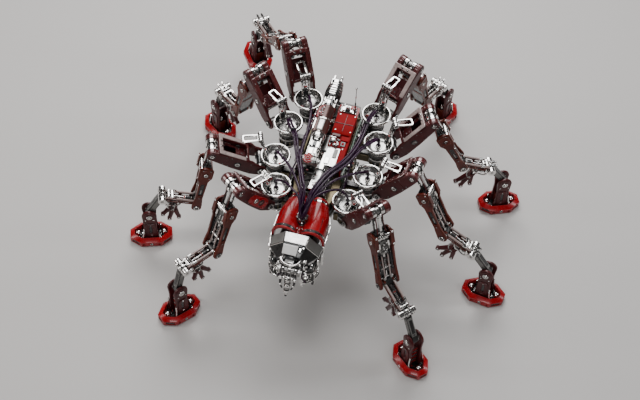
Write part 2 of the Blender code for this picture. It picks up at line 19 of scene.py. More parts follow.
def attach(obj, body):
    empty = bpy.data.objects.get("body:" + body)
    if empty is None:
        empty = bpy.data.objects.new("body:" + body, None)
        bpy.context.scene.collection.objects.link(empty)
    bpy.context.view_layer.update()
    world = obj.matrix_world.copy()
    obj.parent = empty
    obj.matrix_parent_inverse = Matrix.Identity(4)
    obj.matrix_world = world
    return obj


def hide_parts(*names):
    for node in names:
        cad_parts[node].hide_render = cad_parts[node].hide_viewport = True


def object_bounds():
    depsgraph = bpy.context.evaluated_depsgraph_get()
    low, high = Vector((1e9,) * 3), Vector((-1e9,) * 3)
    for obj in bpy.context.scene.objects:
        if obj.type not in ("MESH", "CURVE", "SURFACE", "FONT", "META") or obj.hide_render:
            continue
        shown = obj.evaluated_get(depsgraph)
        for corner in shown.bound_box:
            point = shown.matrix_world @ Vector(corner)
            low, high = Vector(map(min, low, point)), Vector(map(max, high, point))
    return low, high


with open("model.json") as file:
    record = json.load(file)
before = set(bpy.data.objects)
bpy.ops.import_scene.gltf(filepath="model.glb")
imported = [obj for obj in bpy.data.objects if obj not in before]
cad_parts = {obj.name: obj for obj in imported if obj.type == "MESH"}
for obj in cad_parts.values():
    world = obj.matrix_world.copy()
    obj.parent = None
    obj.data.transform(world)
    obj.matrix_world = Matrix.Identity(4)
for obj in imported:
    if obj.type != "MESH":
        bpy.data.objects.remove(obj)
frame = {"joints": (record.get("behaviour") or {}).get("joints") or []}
cad_box = [list(c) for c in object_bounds()]

MM = 0.001
IDENTITY = Matrix.Identity(4)
UP = (0, 0, 1)
OUT = (0, 1, 0)  # sideways, away from a leg's middle plane

# distance from each leg part's own joint to the next one
FEMUR, TIBIA, SHIN, TARSUS = 96, 150, 63, 54
FOOT_PITCH = {"R4": -82.6}  # degrees; the other feet point straight down
STRAIGHT_DOWN = -90.0

# hip places (x, y) in the thorax frame, from the head end to the tail end
HIPS = {f"{letter}{number}": (sign * x, y)
        for letter, sign in (("L", 1), ("R", -1))
        for number, (x, y) in enumerate(((64, -105), (84, -40), (84, 40), (64, 105)), 1)}
HIP_HEIGHT = 218
BARREL_PIVOT = (-17, -62, 252)
JAW_PIVOT = (0, -240, 172)
PLUG_Y = -164
HOOD_FRONT, HOOD_LENGTH = -193, 80


# ---------------------------------------------------------------- materials
def look(name, base, *, rough, metal, mottle, bump, coat=0.0, specular=0.5, mottle_scale=30.0,
         rough_swing=0.12, brush=None, cells=None, edge_wear_and_sheen=None, painted_crevice_shade=0.0):
    """A Principled material with mottled colour, uneven roughness and fine bump.

    mottle is the depth of the colour patches and rough_swing that of the roughness. The fine grain
    is noise, noise stretched by brush, or a cell pattern of scale cells. edge_wear_and_sheen is the
    colour and strength of lighter edges, which are rubbed paint and a painted edge highlight, and
    painted_crevice_shade is the strength of the painted shade that darkens crevices.
    """
    material = bpy.data.materials.new(name)
    material.use_nodes = True
    nodes, links = material.node_tree.nodes, material.node_tree.links
    surface = nodes["Principled BSDF"]

    def feed(socket, value):
        """Links a socket, or sets its value."""
        if isinstance(value, bpy.types.NodeSocket):
            links.new(value, socket)
        else:
            socket.default_value = value

    def add(kind, inputs=None, **settings):
        node = nodes.new(kind)
        for key, value in settings.items():
            setattr(node, key, value)
        for key, value in (inputs or {}).items():
            feed(node.inputs[key], value)
        return node

    def noise(scale, detail, rough_n=0.55, vector=None):
        return add("ShaderNodeTexNoise", {"Scale": scale, "Detail": detail, "Roughness": rough_n,
                                          "Vector": vector or where}).outputs["Fac"]

    def ramp(value, low, high, start, end):
        return add("ShaderNodeMapRange", {"From Min": low, "From Max": high, "To Min": start,
                                          "To Max": end, "Value": value}).outputs["Result"]

    def mix(factor, first, second):
        node = add("ShaderNodeMix", data_type="RGBA")
        feed(node.inputs["Factor"], factor)
        for key, value in (("A", first), ("B", second)):
            socket = next(s for s in node.inputs if s.name == key and s.type == "RGBA")
            feed(socket, (*value, 1.0) if isinstance(value, tuple) else value)
        return next(s for s in node.outputs if s.type == "RGBA")

    def maths(operation, first, second):
        return add("ShaderNodeMath", {0: first, 1: second},
                   operation=operation, use_clamp=True).outputs[0]

    # each object gets its own offset into the patterns
    coord = add("ShaderNodeTexCoord")
    info = add("ShaderNodeObjectInfo")
    where = add("ShaderNodeVectorMath",
                {0: info.outputs["Random"], 1: (0.7, 0.9, 1.1), 2: coord.outputs["Object"]},
                operation="MULTIPLY_ADD").outputs[0]

    patches = noise(mottle_scale, 4.0)
    dark = tuple(c * (1 - mottle) for c in base)
    light = tuple(min(1.0, c * (1 + mottle * 0.6)) for c in base)
    colour = mix(ramp(patches, 0.35, 0.68, 0.0, 1.0), dark, light)

    if brush:
        stretch = add("ShaderNodeMapping", {"Scale": brush, "Vector": where})
        fine = noise(260.0, 5.0, 0.75, stretch.outputs["Vector"])
    elif cells:
        voronoi = add("ShaderNodeTexVoronoi", feature="DISTANCE_TO_EDGE")
        feed(voronoi.inputs["Scale"], cells)
        feed(voronoi.inputs["Vector"], where)
        fine = ramp(voronoi.outputs["Distance"], 0.0, 0.25, 0.0, 1.0)
    else:
        fine = noise(600.0, 3.0, 0.7)

    smudge = noise(mottle_scale * 3.1, 5.0, 0.65)
    roughness = maths("ADD", ramp(smudge, 0.3, 0.75, rough - rough_swing * 0.5, rough + rough_swing),
                      ramp(fine, 0.3, 0.8, -0.03, 0.05))
    if painted_crevice_shade:
        # painted shade: a darker colour where ambient occlusion finds a crevice, broken up by the
        # colour patches
        occlusion = add("ShaderNodeAmbientOcclusion", {"Distance": 0.006}, samples=4)
        shade_mask = ramp(occlusion.outputs["AO"], 0.25, 0.9, painted_crevice_shade, 0.0)
        shade_mask = maths("MULTIPLY", shade_mask, ramp(patches, 0.2, 0.7, 0.5, 1.2))
        colour = mix(shade_mask, colour, (0.012, 0.010, 0.009))
        roughness = maths("ADD", roughness, maths("MULTIPLY", shade_mask, 0.35))
    if edge_wear_and_sheen:
        # lighter edges: rubbed paint, together with a painted highlight along the edges
        rub_sheen_colour, rub_sheen_strength = edge_wear_and_sheen
        # an edge is where the rounded normal leaves the true one
        rounded = add("ShaderNodeBevel", {"Radius": 0.0009}, samples=4)
        true = add("ShaderNodeNewGeometry")
        dot = add("ShaderNodeVectorMath",
                  {0: rounded.outputs["Normal"], 1: true.outputs["Normal"]},
                  operation="DOT_PRODUCT")
        edge = ramp(dot.outputs["Value"], 0.985, 0.90, 0.0, 1.0)
        edge = maths("MULTIPLY", edge, ramp(noise(170.0, 4.0, 0.7), 0.42, 0.62, 0.0, 1.0))
        edge = maths("MULTIPLY", edge, rub_sheen_strength)
        colour = mix(edge, colour, rub_sheen_colour)
        roughness = maths("ADD", roughness, maths("MULTIPLY", edge, 0.12))

    relief = add("ShaderNodeBump", {"Strength": bump, "Distance": 0.0004, "Height": fine})
    for key, value in {"Metallic": metal, "Coat Weight": coat, "Coat Roughness": 0.06,
                       "Specular IOR Level": specular, "Base Color": colour,
                       "Roughness": roughness, "Normal": relief.outputs["Normal"]}.items():
        feed(surface.inputs[key], value)
    if coat:
        feed(surface.inputs["Coat Normal"], relief.outputs["Normal"])
    return material


# in these looks painted_crevice_shade paints shade into crevices, and edge_wear_and_sheen paints
# lighter edges that are rubbed paint and a painted edge highlight
MATS = {
    "maroon": look("maroon_lacquer", (0.066, 0.004, 0.006), rough=0.36, metal=0.08, coat=0.16,
                   mottle=0.35, painted_crevice_shade=0.7, edge_wear_and_sheen=((0.26, 0.07, 0.06), 0.7), bump=0.10, specular=0.35),
    "rust": look("red_brown_lacquer", (0.112, 0.011, 0.004), rough=0.36, metal=0.12, coat=0.16,
                 mottle=0.38, painted_crevice_shade=0.75, edge_wear_and_sheen=((0.36, 0.10, 0.05), 0.8), bump=0.12, specular=0.35),
    "satin": look("satin_chrome", (0.47, 0.46, 0.45), rough=0.22, metal=1.0, mottle=0.06,
                  rough_swing=0.08, bump=0.006),
    "scarlet": look("scarlet_cover", (0.27, 0.0015, 0.004), rough=0.50, metal=0.0, specular=0.08,
                    mottle=0.12, painted_crevice_shade=0.35, edge_wear_and_sheen=((0.40, 0.08, 0.07), 0.3), bump=0.04),
    "gloss": look("maroon_gloss_edge", (0.105, 0.014, 0.014), rough=0.20, metal=0.25, coat=1.0,
                  mottle=0.3, painted_crevice_shade=0.5, edge_wear_and_sheen=((0.34, 0.14, 0.13), 0.7), bump=0.06, specular=0.7),
    # blush: a pale pink painted highlight, standing in for light caught on glossy maroon
    "blush": look("painted_highlight_pink", (0.46, 0.36, 0.34), rough=0.30, metal=0.35, coat=0.3,
                  mottle=0.2, painted_crevice_shade=0.6, edge_wear_and_sheen=((0.70, 0.66, 0.64), 0.6), bump=0.08),
    "red": look("signal_red_lacquer", (0.36, 0.003, 0.008), rough=0.25, metal=0.0, coat=0.22,
                specular=0.35, mottle=0.22, painted_crevice_shade=0.55, edge_wear_and_sheen=((0.75, 0.20, 0.18), 0.6), bump=0.04,
                rough_swing=0.10),
    "chrome": look("polished_chrome", (0.70, 0.685, 0.665), rough=0.08, metal=1.0, mottle=0.10,
                   rough_swing=0.08, bump=0.015, painted_crevice_shade=0.35, brush=(1.0, 1.0, 9.0)),
    "mirror": look("mirror_chrome", (0.86, 0.845, 0.825), rough=0.06, metal=1.0, mottle=0.05,
                   rough_swing=0.05, bump=0.004),
    "steel": look("brushed_steel", (0.42, 0.41, 0.40), rough=0.26, metal=1.0, mottle=0.2,
                  bump=0.16, painted_crevice_shade=0.8, brush=(1.0, 14.0, 1.0)),
    "gun": look("gunmetal", (0.075, 0.072, 0.072), rough=0.28, metal=0.9, coat=0.15, mottle=0.35,
                bump=0.12, painted_crevice_shade=0.7, edge_wear_and_sheen=((0.35, 0.34, 0.33), 0.7)),
    "black": look("black_enamel", (0.012, 0.012, 0.014), rough=0.26, metal=0.1, coat=0.4,
                  mottle=0.3, bump=0.08, edge_wear_and_sheen=((0.12, 0.12, 0.12), 0.5)),
    "brass": look("aged_brass", (0.13, 0.105, 0.065), rough=0.38, metal=0.95, mottle=0.4,
                  bump=0.14, painted_crevice_shade=0.85, edge_wear_and_sheen=((0.55, 0.48, 0.34), 0.6)),
    "white": look("white_ceramic", (0.96, 0.95, 0.93), rough=0.27, metal=0.8, coat=0.3,
                  mottle=0.08, bump=0.04, painted_crevice_shade=0.45),
    "pale": look("pale_enamel", (0.84, 0.83, 0.81), rough=0.30, metal=0.15, coat=0.3,
                 mottle=0.06, bump=0.03, painted_crevice_shade=0.35),
    "grey": look("grey_panel", (0.20, 0.195, 0.185), rough=0.42, metal=0.3, mottle=0.2,
                 bump=0.12, painted_crevice_shade=0.7, edge_wear_and_sheen=((0.45, 0.44, 0.42), 0.6)),
    "pcb": look("circuit_green", (0.010, 0.11, 0.035), rough=0.38, metal=0.0, coat=0.5,
                mottle=0.3, bump=0.2, cells=380.0),
    "cable": look("violet_cable_sleeve", (0.022, 0.0015, 0.022), rough=0.24, metal=0.0, coat=0.15,
                  specular=0.30, mottle=0.35, mottle_scale=60.0, bump=0.12, cells=900.0,
                  rough_swing=0.08),
    "sleeve": look("brown_barrel_sleeve", (0.085, 0.030, 0.024), rough=0.34, metal=0.5, coat=0.3,
                   mottle=0.35, bump=0.14, painted_crevice_shade=0.6, edge_wear_and_sheen=((0.36, 0.24, 0.20), 0.7)),
}
# the product's material slot that each look belongs to
SLOTS = {mat: slot for slot, mats in {
    "maroon_paint": "maroon rust gloss sleeve",
    "red_paint": "red scarlet",
    "chrome_plate": "chrome mirror steel blush satin white pale",
    "dark_metal": "gun black brass grey",
    "board_green": "pcb",
    "cable_sleeve": "cable",
}.items() for mat in mats.split()}


# ---------------------------------------------------------------- placing and outlines
def axes(x, y, z, at=(0, 0, 0)):
    """The placement whose own axes point along x, y and z."""
    place = Matrix((x, y, z)).transposed().to_4x4()
    place.translation = at
    return place


def along(a, b):
    """Puts +Z on the line from a to b, starting at a."""
    a, b = Vector(a), Vector(b)
    return Matrix.Translation(a) @ (b - a).to_track_quat("Z", "Y").to_matrix().to_4x4()


def along_y(x, y, z):
    return along((x, y, z), (x, y + 1, z))


def shift(x, y, z):
    return Matrix.Translation((x, y, z))


def spin(degrees, axis="Z"):
    return Matrix.Rotation(math.radians(degrees), 4, axis)


# where a flat outline lies; its own Z becomes the thickness direction
PLANES = {
    "XY": IDENTITY,
    "XZ": axes((1, 0, 0), (0, 0, 1), (0, 1, 0)),
    "YZ": axes((0, 1, 0), (0, 0, 1), (1, 0, 0)),
}


def moved_loop(points, distance):
    """The loop moved to its left."""
    moved, count = [], len(points)
    for i in range(count):
        before, here, after = (Vector(points[k]) for k in (i - 1, i, (i + 1) % count))
        edge_in, edge_out = (here - before).normalized(), (after - here).normalized()
        left_in, left_out = Vector((-edge_in.y, edge_in.x)), Vector((-edge_out.y, edge_out.x))
        moved.append(here + (left_in + left_out) * (distance / max(0.5, 1 + left_in.dot(left_out))))
    return moved


def wind(points, left=True):
    """The loop turned anticlockwise, or clockwise if left is false."""
    area = sum(points[i - 1][0] * points[i][1] - points[i][0] * points[i - 1][1]
               for i in range(len(points))) / 2
    return list(points) if (area > 0) == left else list(reversed(points))


def arc(x, y, radius, start, end, steps):
    angles = [math.radians(start + (end - start) * i / steps) for i in range(steps + 1)]
    return [(x + radius * math.cos(a), y + radius * math.sin(a)) for a in angles]


def circle(x, y, radius, sides=16):
    return arc(x, y, radius, 0, 360 - 360 / sides, sides - 1)


def slot_loop(x0, x1, y0, y1, radius, steps=3):
    """A rectangle with rounded corners."""
    left, right, low, high = x0 + radius, x1 - radius, y0 + radius, y1 - radius
    return (arc(right, high, radius, 0, 90, steps) + arc(left, high, radius, 90, 180, steps)
            + arc(left, low, radius, 180, 270, steps) + arc(right, low, radius, 270, 360, steps))


def smooth_path(points, steps):
    """A Catmull-Rom curve through the points."""
    pts = [Vector(p) for p in points]
    padded = [pts[0] * 2 - pts[1], *pts, pts[-1] * 2 - pts[-2]]
    path = []
    for i in range(1, len(padded) - 2):
        p0, p1, p2, p3 = padded[i - 1:i + 3]
        for k in range(steps):
            t = k / steps
            path.append(0.5 * ((2 * p1) + (p2 - p0) * t + (2 * p0 - 5 * p1 + 4 * p2 - p3) * t * t
                               + (3 * p1 - p0 - 3 * p2 + p3) * t ** 3))
    path.append(pts[-1])
    return path


def wall(a, b, count):
    """Faces between two closed rows of points that start at indices a and b."""
    faces = []
    for i in range(count):
        j = (i + 1) % count
        faces.append((a + i, a + j, b + j, b + i))
    return faces


def read_word(word):
    """A number or a name from a parts table."""
    if word[-1].isalpha():
        return word
    return float(word) if "." in word else int(word)


# ---------------------------------------------------------------- shape kit
class Kit:
    """Closed shapes in mm, gathered into one piece."""

    def __init__(self):
        self.verts, self.faces, self.mats = [], [], []

    def add(self, verts, faces, mat, place=IDENTITY):
        start = len(self.verts)
        self.verts += [place @ Vector(v) for v in verts]
        self.faces += [tuple(i + start for i in face) for face in faces]
        self.mats += [mat] * len(faces)

    @contextmanager
    def both_sides(self):
        """Repeats what is drawn inside it on the other side of the XZ plane."""
        first_vert, first_face = len(self.verts), len(self.faces)
        yield
        count = len(self.verts) - first_vert
        self.verts += [Vector((v.x, -v.y, v.z)) for v in self.verts[first_vert:]]
        self.mats += self.mats[first_face:]
        self.faces += [tuple(i + count for i in reversed(face))
                       for face in self.faces[first_face:]]

    def parts(self, table, side=1, at=(0, 0, 0)):
        """Draws a table of shapes, one on a line; values in brackets may be left out.

        box x0 x1  y0 y1  z0 z1  material [bevel]
        rod x y z  x y z  radius material [sides chamfer]
        ball x y z  radius material [sides]
        bolt x y z  axis  radius [proud material washer]
        disc_bolt x y z  axis  radius [proud material core]
        stack x y z  axis [sides] / length radius material / ...
        tube radius material [sides] / x y z / ...
        hose radius material steps [sides] / x y z / ...
        side=-1 turns X over, and places are measured from at.
        """
        def placed(x, y, z):
            return side * x + at[0], y + at[1], z + at[2]

        for line in table.splitlines():
            line = line.partition("#")[0]
            if not line.strip():
                continue
            head, *rows = [[read_word(w) for w in group.split()] for group in line.split("/")]
            kind, *values = head
            draw = getattr(self, kind)
            if kind == "box":
                x0, x1, y0, y1, z0, z1, *rest = values
                low, high = placed(x0, y0, z0), placed(x1, y1, z1)
                draw(*itertools.chain(*zip(low, high)), *rest)
            elif kind == "ball":
                draw(placed(*values[:3]), *values[3:])
            elif kind in ("tube", "hose"):
                draw([placed(*row) for row in rows], *values)
            elif kind == "rod":
                draw(placed(*values[:3]), placed(*values[3:6]), *values[6:])
            else:
                axis = (side * values[3], *values[4:6])
                draw(placed(*values[:3]), axis, *([rows] if rows else []), *values[6:])

    def prism(self, points, low, high, mat, plane="XY", bevel=0.5, holes=(), place=IDENTITY):
        """A flat part with chamfered edges and any holes."""
        low, high = sorted((low, high))
        loops = [wind(points)] + [wind(hole, False) for hole in holes]
        bevel = min(bevel, (high - low) * 0.45)
        levels = [(low, 0), (high, 0)]
        if bevel > 0:
            levels = [(low, bevel), (low + bevel, 0), (high - bevel, 0), (high, bevel)]
        verts, faces, starts = [], [], []
        for z, inset in levels:
            starts.append(len(verts))
            for loop in loops:
                verts += [(p.x, p.y, z) for p in moved_loop(loop, inset)]
        for a, b in zip(starts, starts[1:]):
            for loop in loops:
                faces += wall(a, b, len(loop))
                a += len(loop)
                b += len(loop)
        for start, flip in ((starts[0], True), (starts[-1], False)):
            if holes:
                rings, first = [], start
                for loop in loops:
                    rings.append([Vector(v) for v in verts[first:first + len(loop)]])
                    first += len(loop)
                faces += [tuple(start + i for i in triangle)
                          for triangle in geometry.tessellate_polygon(rings)]
            else:
                face = tuple(range(start, start + len(points)))
                faces.append(face[::-1] if flip else face)
        self.add(verts, faces, mat, place @ PLANES[plane])

    def box(self, x0, x1, y0, y1, z0, z1, mat, bevel=0.6, place=IDENTITY):
        x0, x1 = sorted((x0, x1))
        cut = min(bevel, (x1 - x0) * 0.3, (y1 - y0) * 0.3)
        points = [(x0 + cut, y0), (x1 - cut, y0), (x1, y0 + cut), (x1, y1 - cut),
                  (x1 - cut, y1), (x0 + cut, y1), (x0, y1 - cut), (x0, y0 + cut)]
        self.prism(points, z0, z1, mat, bevel=bevel, place=place)

    def lathe(self, profile, sides, mat, place=IDENTITY, closed=False):
        """Turned about Z from (radius, z). The ends are capped, or the profile closes on itself."""
        verts, faces = [], []
        count = len(profile)
        for radius, z in profile:
            verts += [(radius * math.cos(2 * math.pi * i / sides),
                       radius * math.sin(2 * math.pi * i / sides), z) for i in range(sides)]
        for k in range(count if closed else count - 1):
            a, b = k * sides, ((k + 1) % count) * sides
            for i in range(sides):
                j = (i + 1) % sides
                faces.append((a + i, b + i, b + j, a + j))
        if not closed:
            faces.append(tuple(range(sides)))
            faces.append(tuple(reversed(range((count - 1) * sides, count * sides))))
        self.add(verts, faces, mat, place)

    def ring(self, radius, thick, mat, place=IDENTITY, sides=28, section=8):
        angles = [2 * math.pi * i / section for i in range(section)]
        profile = [(radius + thick * math.cos(a), thick * math.sin(a)) for a in angles]
        self.lathe(profile, sides, mat, place, closed=True)

    def rod(self, a, b, radius, mat, sides=12, chamfer=0.3):
        length = (Vector(b) - Vector(a)).length
        cut = min(chamfer, length * 0.3, radius * 0.4)
        profile = [(radius - cut, length), (radius, length - cut), (radius, cut), (radius - cut, 0)]
        self.lathe(profile, sides, mat, along(a, b))

    def stack(self, start, axis, items, sides=20):
        """Turned discs end to end: items are (length, radius, material)."""
        start, axis = Vector(start), Vector(axis).normalized()
        z = 0.0
        for length, radius, mat in items:
            self.rod(start + axis * z, start + axis * (z + length), radius, mat, sides, 0.45)
            z += length

    def ball(self, centre, radius, mat, sides=16):
        steps = sides // 2
        angles = [math.pi * (i + 0.25) / (steps + 0.5) for i in range(steps + 1)]
        profile = [(radius * math.sin(a), radius * math.cos(a)) for a in angles]
        self.lathe(profile, sides, mat, shift(*centre))

    def tube(self, points, radius, mat, sides=8):
        """A round bar swept along a path; radius is one value or one for each point."""
        path = [Vector(p) for p in points]
        last = len(path) - 1
        verts, faces = [], []
        normal = None
        for i, point in enumerate(path):
            ahead = (path[min(i + 1, last)] - path[max(i - 1, 0)]).normalized()
            if normal is None:
                normal = Vector((0, 0, 1)) if abs(ahead.z) < 0.9 else Vector((0, 1, 0))
            normal = (normal - ahead * normal.dot(ahead)).normalized()
            across = ahead.cross(normal)
            reach = radius[i] if isinstance(radius, list) else radius
            for k in range(sides):
                a = 2 * math.pi * k / sides
                verts.append(point + normal * (reach * math.cos(a))
                             + across * (reach * math.sin(a)))
        for i in range(last):
            faces += wall(i * sides, (i + 1) * sides, sides)
        faces.append(tuple(reversed(range(sides))))
        faces.append(tuple(range(last * sides, (last + 1) * sides)))
        self.add(verts, faces, mat)

    def hose(self, points, radius, mat, steps, sides=8):
        """A tube along a smooth curve."""
        self.tube(smooth_path(points, steps), radius, mat, sides)

    def spring(self, a, b, radius, wire, turns, mat):
        per_turn, wire_sides = 10, 6
        place = along(a, b)
        length = (Vector(b) - Vector(a)).length
        count = turns * per_turn
        points = []
        for i in range(count + 1):
            angle = 2 * math.pi * i / per_turn
            points.append(place @ Vector((radius * math.cos(angle), radius * math.sin(angle),
                                          length * i / count)))
        self.tube(points, wire, mat, wire_sides)

    def bolt(self, at, axis, radius, proud=0.8, mat="chrome", washer="gun"):
        """A washer, a chamfered hex head and a dark socket."""
        at, axis = Vector(at), Vector(axis).normalized()
        self.rod(at - axis * 0.3, at + axis * proud * 0.35, radius * 1.28, washer, 16, 0.2)
        self.rod(at, at + axis * proud, radius, mat, 6, 0.35)
        self.rod(at + axis * (proud - 0.3), at + axis * (proud + 0.06), radius * 0.45, "black",
                 6, 0.05)

    def disc_bolt(self, at, axis, radius, proud=1.2, mat="chrome", core="black"):
        """A round cap with a sunk centre."""
        at, axis = Vector(at), Vector(axis).normalized()
        profile = [(radius * 0.52, proud * 0.35), (radius * 0.6, proud), (radius * 0.9, proud),
                   (radius, proud * 0.65), (radius, -0.3)]
        self.lathe(profile, 20, mat, along(at, at + axis))
        self.rod(at + axis * proud * 0.3, at + axis * proud * 0.62, radius * 0.34, core, 6, 0.08)

    def greebles(self, bounds, count, seed, mats, size):
        """Small blocks, studs and rods scattered over a flat area, standing up in Z."""
        rng = random.Random(seed)
        mats = mats.split()
        x0, x1, y0, y1, z0, z1 = bounds
        x0, x1 = sorted((x0, x1))
        for _ in range(count):
            wide, deep = rng.uniform(*size), rng.uniform(*size)
            tall = rng.uniform(0.35, 1.0) * (z1 - z0)
            x, y = rng.uniform(x0, max(x0, x1 - wide)), rng.uniform(y0, max(y0, y1 - deep))
            mat = rng.choice(mats)
            kind = rng.random()
            if kind < 0.55:
                self.box(x, x + wide, y, y + deep, z0, z0 + tall, mat, 0.3)
            elif kind < 0.85:
                r = min(wide, deep) / 2
                self.rod((x + r, y + r, z0), (x + r, y + r, z0 + tall), r, mat, 10, 0.25)
            else:
                r = min(wide, deep) / 3
                self.rod((x, y + r, z0 + r), (x + wide, y + r, z0 + r), r, mat, 8, 0.2)

    def mesh(self, name, smooth=36):
        """The finished mesh in metres; edges sharper than smooth degrees stay sharp."""
        mesh = bpy.data.meshes.new(name)
        mesh.from_pydata([tuple(v) for v in self.verts], [], self.faces)
        used = sorted(set(self.mats))
        for mat in used:
            mesh.materials.append(MATS[mat])
        mesh.polygons.foreach_set("material_index", [used.index(mat) for mat in self.mats])
        bm = bmesh.new()
        bm.from_mesh(mesh)
        bmesh.ops.recalc_face_normals(bm, faces=bm.faces)
        bmesh.ops.scale(bm, vec=(MM, MM, MM), verts=bm.verts)
        bm.to_mesh(mesh)
        bm.free()
        mesh.shade_smooth()
        mesh.set_sharp_from_angle(angle=math.radians(smooth))
        mesh["slot"] = SLOTS[max(used, key=self.mats.count)]
        return mesh


def put(name, mesh, place, body, node=None):
    """A piece made from a mesh, in its place, riding on a body and standing for a CAD node."""
    points = [v.co for v in mesh.vertices]
    spans = [(min(p[i] for p in points), max(p[i] for p in points)) for i in range(3)]
    corners = [place @ Vector(corner) for corner in itertools.product(*spans)]
    low, high = cad_box
    if any(c[i] < low[i] or c[i] > high[i] for c in corners for i in range(3)):
        # a piece at the outer edge is turned into world axes, so that its own box is a close fit
        mesh = mesh.copy()
        mesh.transform(place.to_3x3().to_4x4())
        place = Matrix.Translation(place.translation)
    obj = bpy.data.objects.new(name, mesh)
    bpy.context.scene.collection.objects.link(obj)
    obj.matrix_world = place
    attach(obj, body)
    if node:
        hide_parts(node)


# ---------------------------------------------------------------- frames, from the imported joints
JOINTS = {j["name"]: j for j in frame["joints"]}
THORAX = Matrix.Translation(Vector(JOINTS["yaw_L1"]["pos_m"])
                            - Vector((*HIPS["L1"], HIP_HEIGHT)) * MM)


def basis(origin, x, y):
    """A frame at origin with its X along x and its Y as near to y as it can be."""
    x = x.normalized()
    z = x.cross(y).normalized()
    return axes(x, z.cross(x), z, origin)


def leg_frames(leg):
    order = ("hip", "knee", "shin", "ankle", "foot")
    at = {k: Vector(JOINTS[f"{k}_{leg}"]["pos_m"]) for k in ("yaw", *order)}
    y = -Vector(JOINTS[f"hip_{leg}"]["axis"])
    up = Vector(UP)
    out = y.cross(up)
    pitch = math.radians(FOOT_PITCH.get(leg, STRAIGHT_DOWN))
    frames = {"coxa": basis(at["yaw"], out, y)}
    for part, a, b in zip(("femur", "tibia", "shin", "tarsus"), order, order[1:]):
        frames[part] = basis(at[a], at[b] - at[a], y)
    frames["foot"] = basis(at["foot"], out * math.cos(pitch) + up * math.sin(pitch), y)
    return frames


# ---------------------------------------------------------------- leg: coxa
def hip_ring():
    """A polished ring about the yaw axis, with a dished bowl inside it."""
    kit = Kit()
    kit.ring(25, 2.4, "mirror", sides=72, section=14)
    bowl = [(23.4, 1.2), (22.9, -1.6), (21.2, -4.6), (18.6, -7), (15.4, -8.6), (11.6, -9.4),
            (7.4, -9.7), (7.4, -11.2), (13.2, -11.4), (18.4, -9.4), (22.6, -6), (25, -1.2)]
    collar = [(7.2, -8.6), (7.6, -9.2), (7.6, -11), (2.6, -11), (2.6, -8.6)]
    hub = [(3.4, -4.6), (4.2, -5), (4.3, -5.8), (3.7, -6.2), (4.5, -6.8), (4.7, -8.5),
           (2.9, -8.5), (2.9, -5)]
    kit.lathe(bowl, 72, "satin", closed=True)
    kit.lathe(collar, 40, "satin", closed=True)
    kit.lathe(hub, 28, "chrome", closed=True)
    kit.ring(4.6, 0.5, "chrome", shift(0, 0, -7.2))
    for i in range(6):
        angle = math.radians(30 + 60 * i)
        kit.bolt((6.1 * math.cos(angle), 6.1 * math.sin(angle), -8.7), UP, 0.5, 0.4, "steel")
    # two blocks on the slope of the bowl
    for angle, mat in ((115, "red"), (-112, "gun")):
        place = spin(angle) @ shift(15.6, 0, -7.2) @ spin(-34, "Y")
        kit.box(-2.4, 2.4, -1.6, 1.6, -0.8, 0.9, mat, 0.3, place)
        kit.rod(place @ Vector((0, 0, 0.6)), place @ Vector((0, 0, 1.9)), 0.9, "chrome", 8)
    for angle in (60, 180, 300):
        kit.box(24.2, 26.6, -2.6, 2.6, -4.4, -1.6, "steel", 0.5, spin(angle))
    return kit.mesh("hip_ring")


def hip_drive():
    """The toothed drum under the bowl and the fork that carries the hip axle."""
    kit = Kit()
    hip_x, hip_z = 28, -14
    kit.lathe([(13.8, -11), (14.6, -11.6), (14.6, -13.2), (13.4, -13.8), (13.4, -19),
               (14.4, -19.6), (14.4, -21.8), (13.8, -22.4)], 40, "gun")
    teeth = 30
    for i in range(teeth):
        kit.box(13, 15.3, -0.75, 0.75, -18.6, -14.2, "steel", 0.25, spin(360 / teeth * i))
    kit.lathe([(15.4, -19.4), (15.7, -19.8), (15.7, -20.8), (15.4, -21.2), (13.6, -21.2),
               (13.6, -19.4)], 40, "chrome", closed=True)
    with kit.both_sides():
        fork = ([(7, -21.5), (24, -21.5)] + arc(hip_x, hip_z, 8, -65, 75, 8)
                + [(18, -9.5), (8, -11.5)])
        kit.prism(fork, 7.2, 11, "gun", "XZ", 0.6, holes=[slot_loop(12.5, 19.5, -18.5, -13, 1.8)])
        kit.rod((hip_x, 11, hip_z), (hip_x, 18.5, hip_z), 7.4, "steel", 24, 0.6)
        for y in (13.6, 16.4):
            kit.ring(7.3, 0.6, "chrome", along_y(hip_x, y, hip_z))
        kit.parts(f"""
            rod {hip_x} 18.3 {hip_z}  {hip_x} 24.6 {hip_z}  4.1 chrome 16
            stack {hip_x} 24.4 {hip_z}  0 1 0  24 / 0.8 6.5 gun / 0.9 5.4 chrome / 0.5 3.6 black
            bolt {hip_x} 26.1 {hip_z}  0 1 0  1.7 0.5
            bolt 15.8 11 -20  0 1 0  0.9 0.7
            bolt 22.5 11 -10.8  0 1 0  0.9 0.7
        """)
    kit.parts(f"""
        rod {hip_x} -7.4 {hip_z}  {hip_x} 7.4 {hip_z}  6.4 black 20
        box 8 20  -7.2 7.2  -21 -13  black
        stack 9 0 -15.8  1 0 -0.02  16 / 5 4.2 steel / 2 4.9 chrome / 4 3.2 gun
    """)
    return kit.mesh("hip_drive")


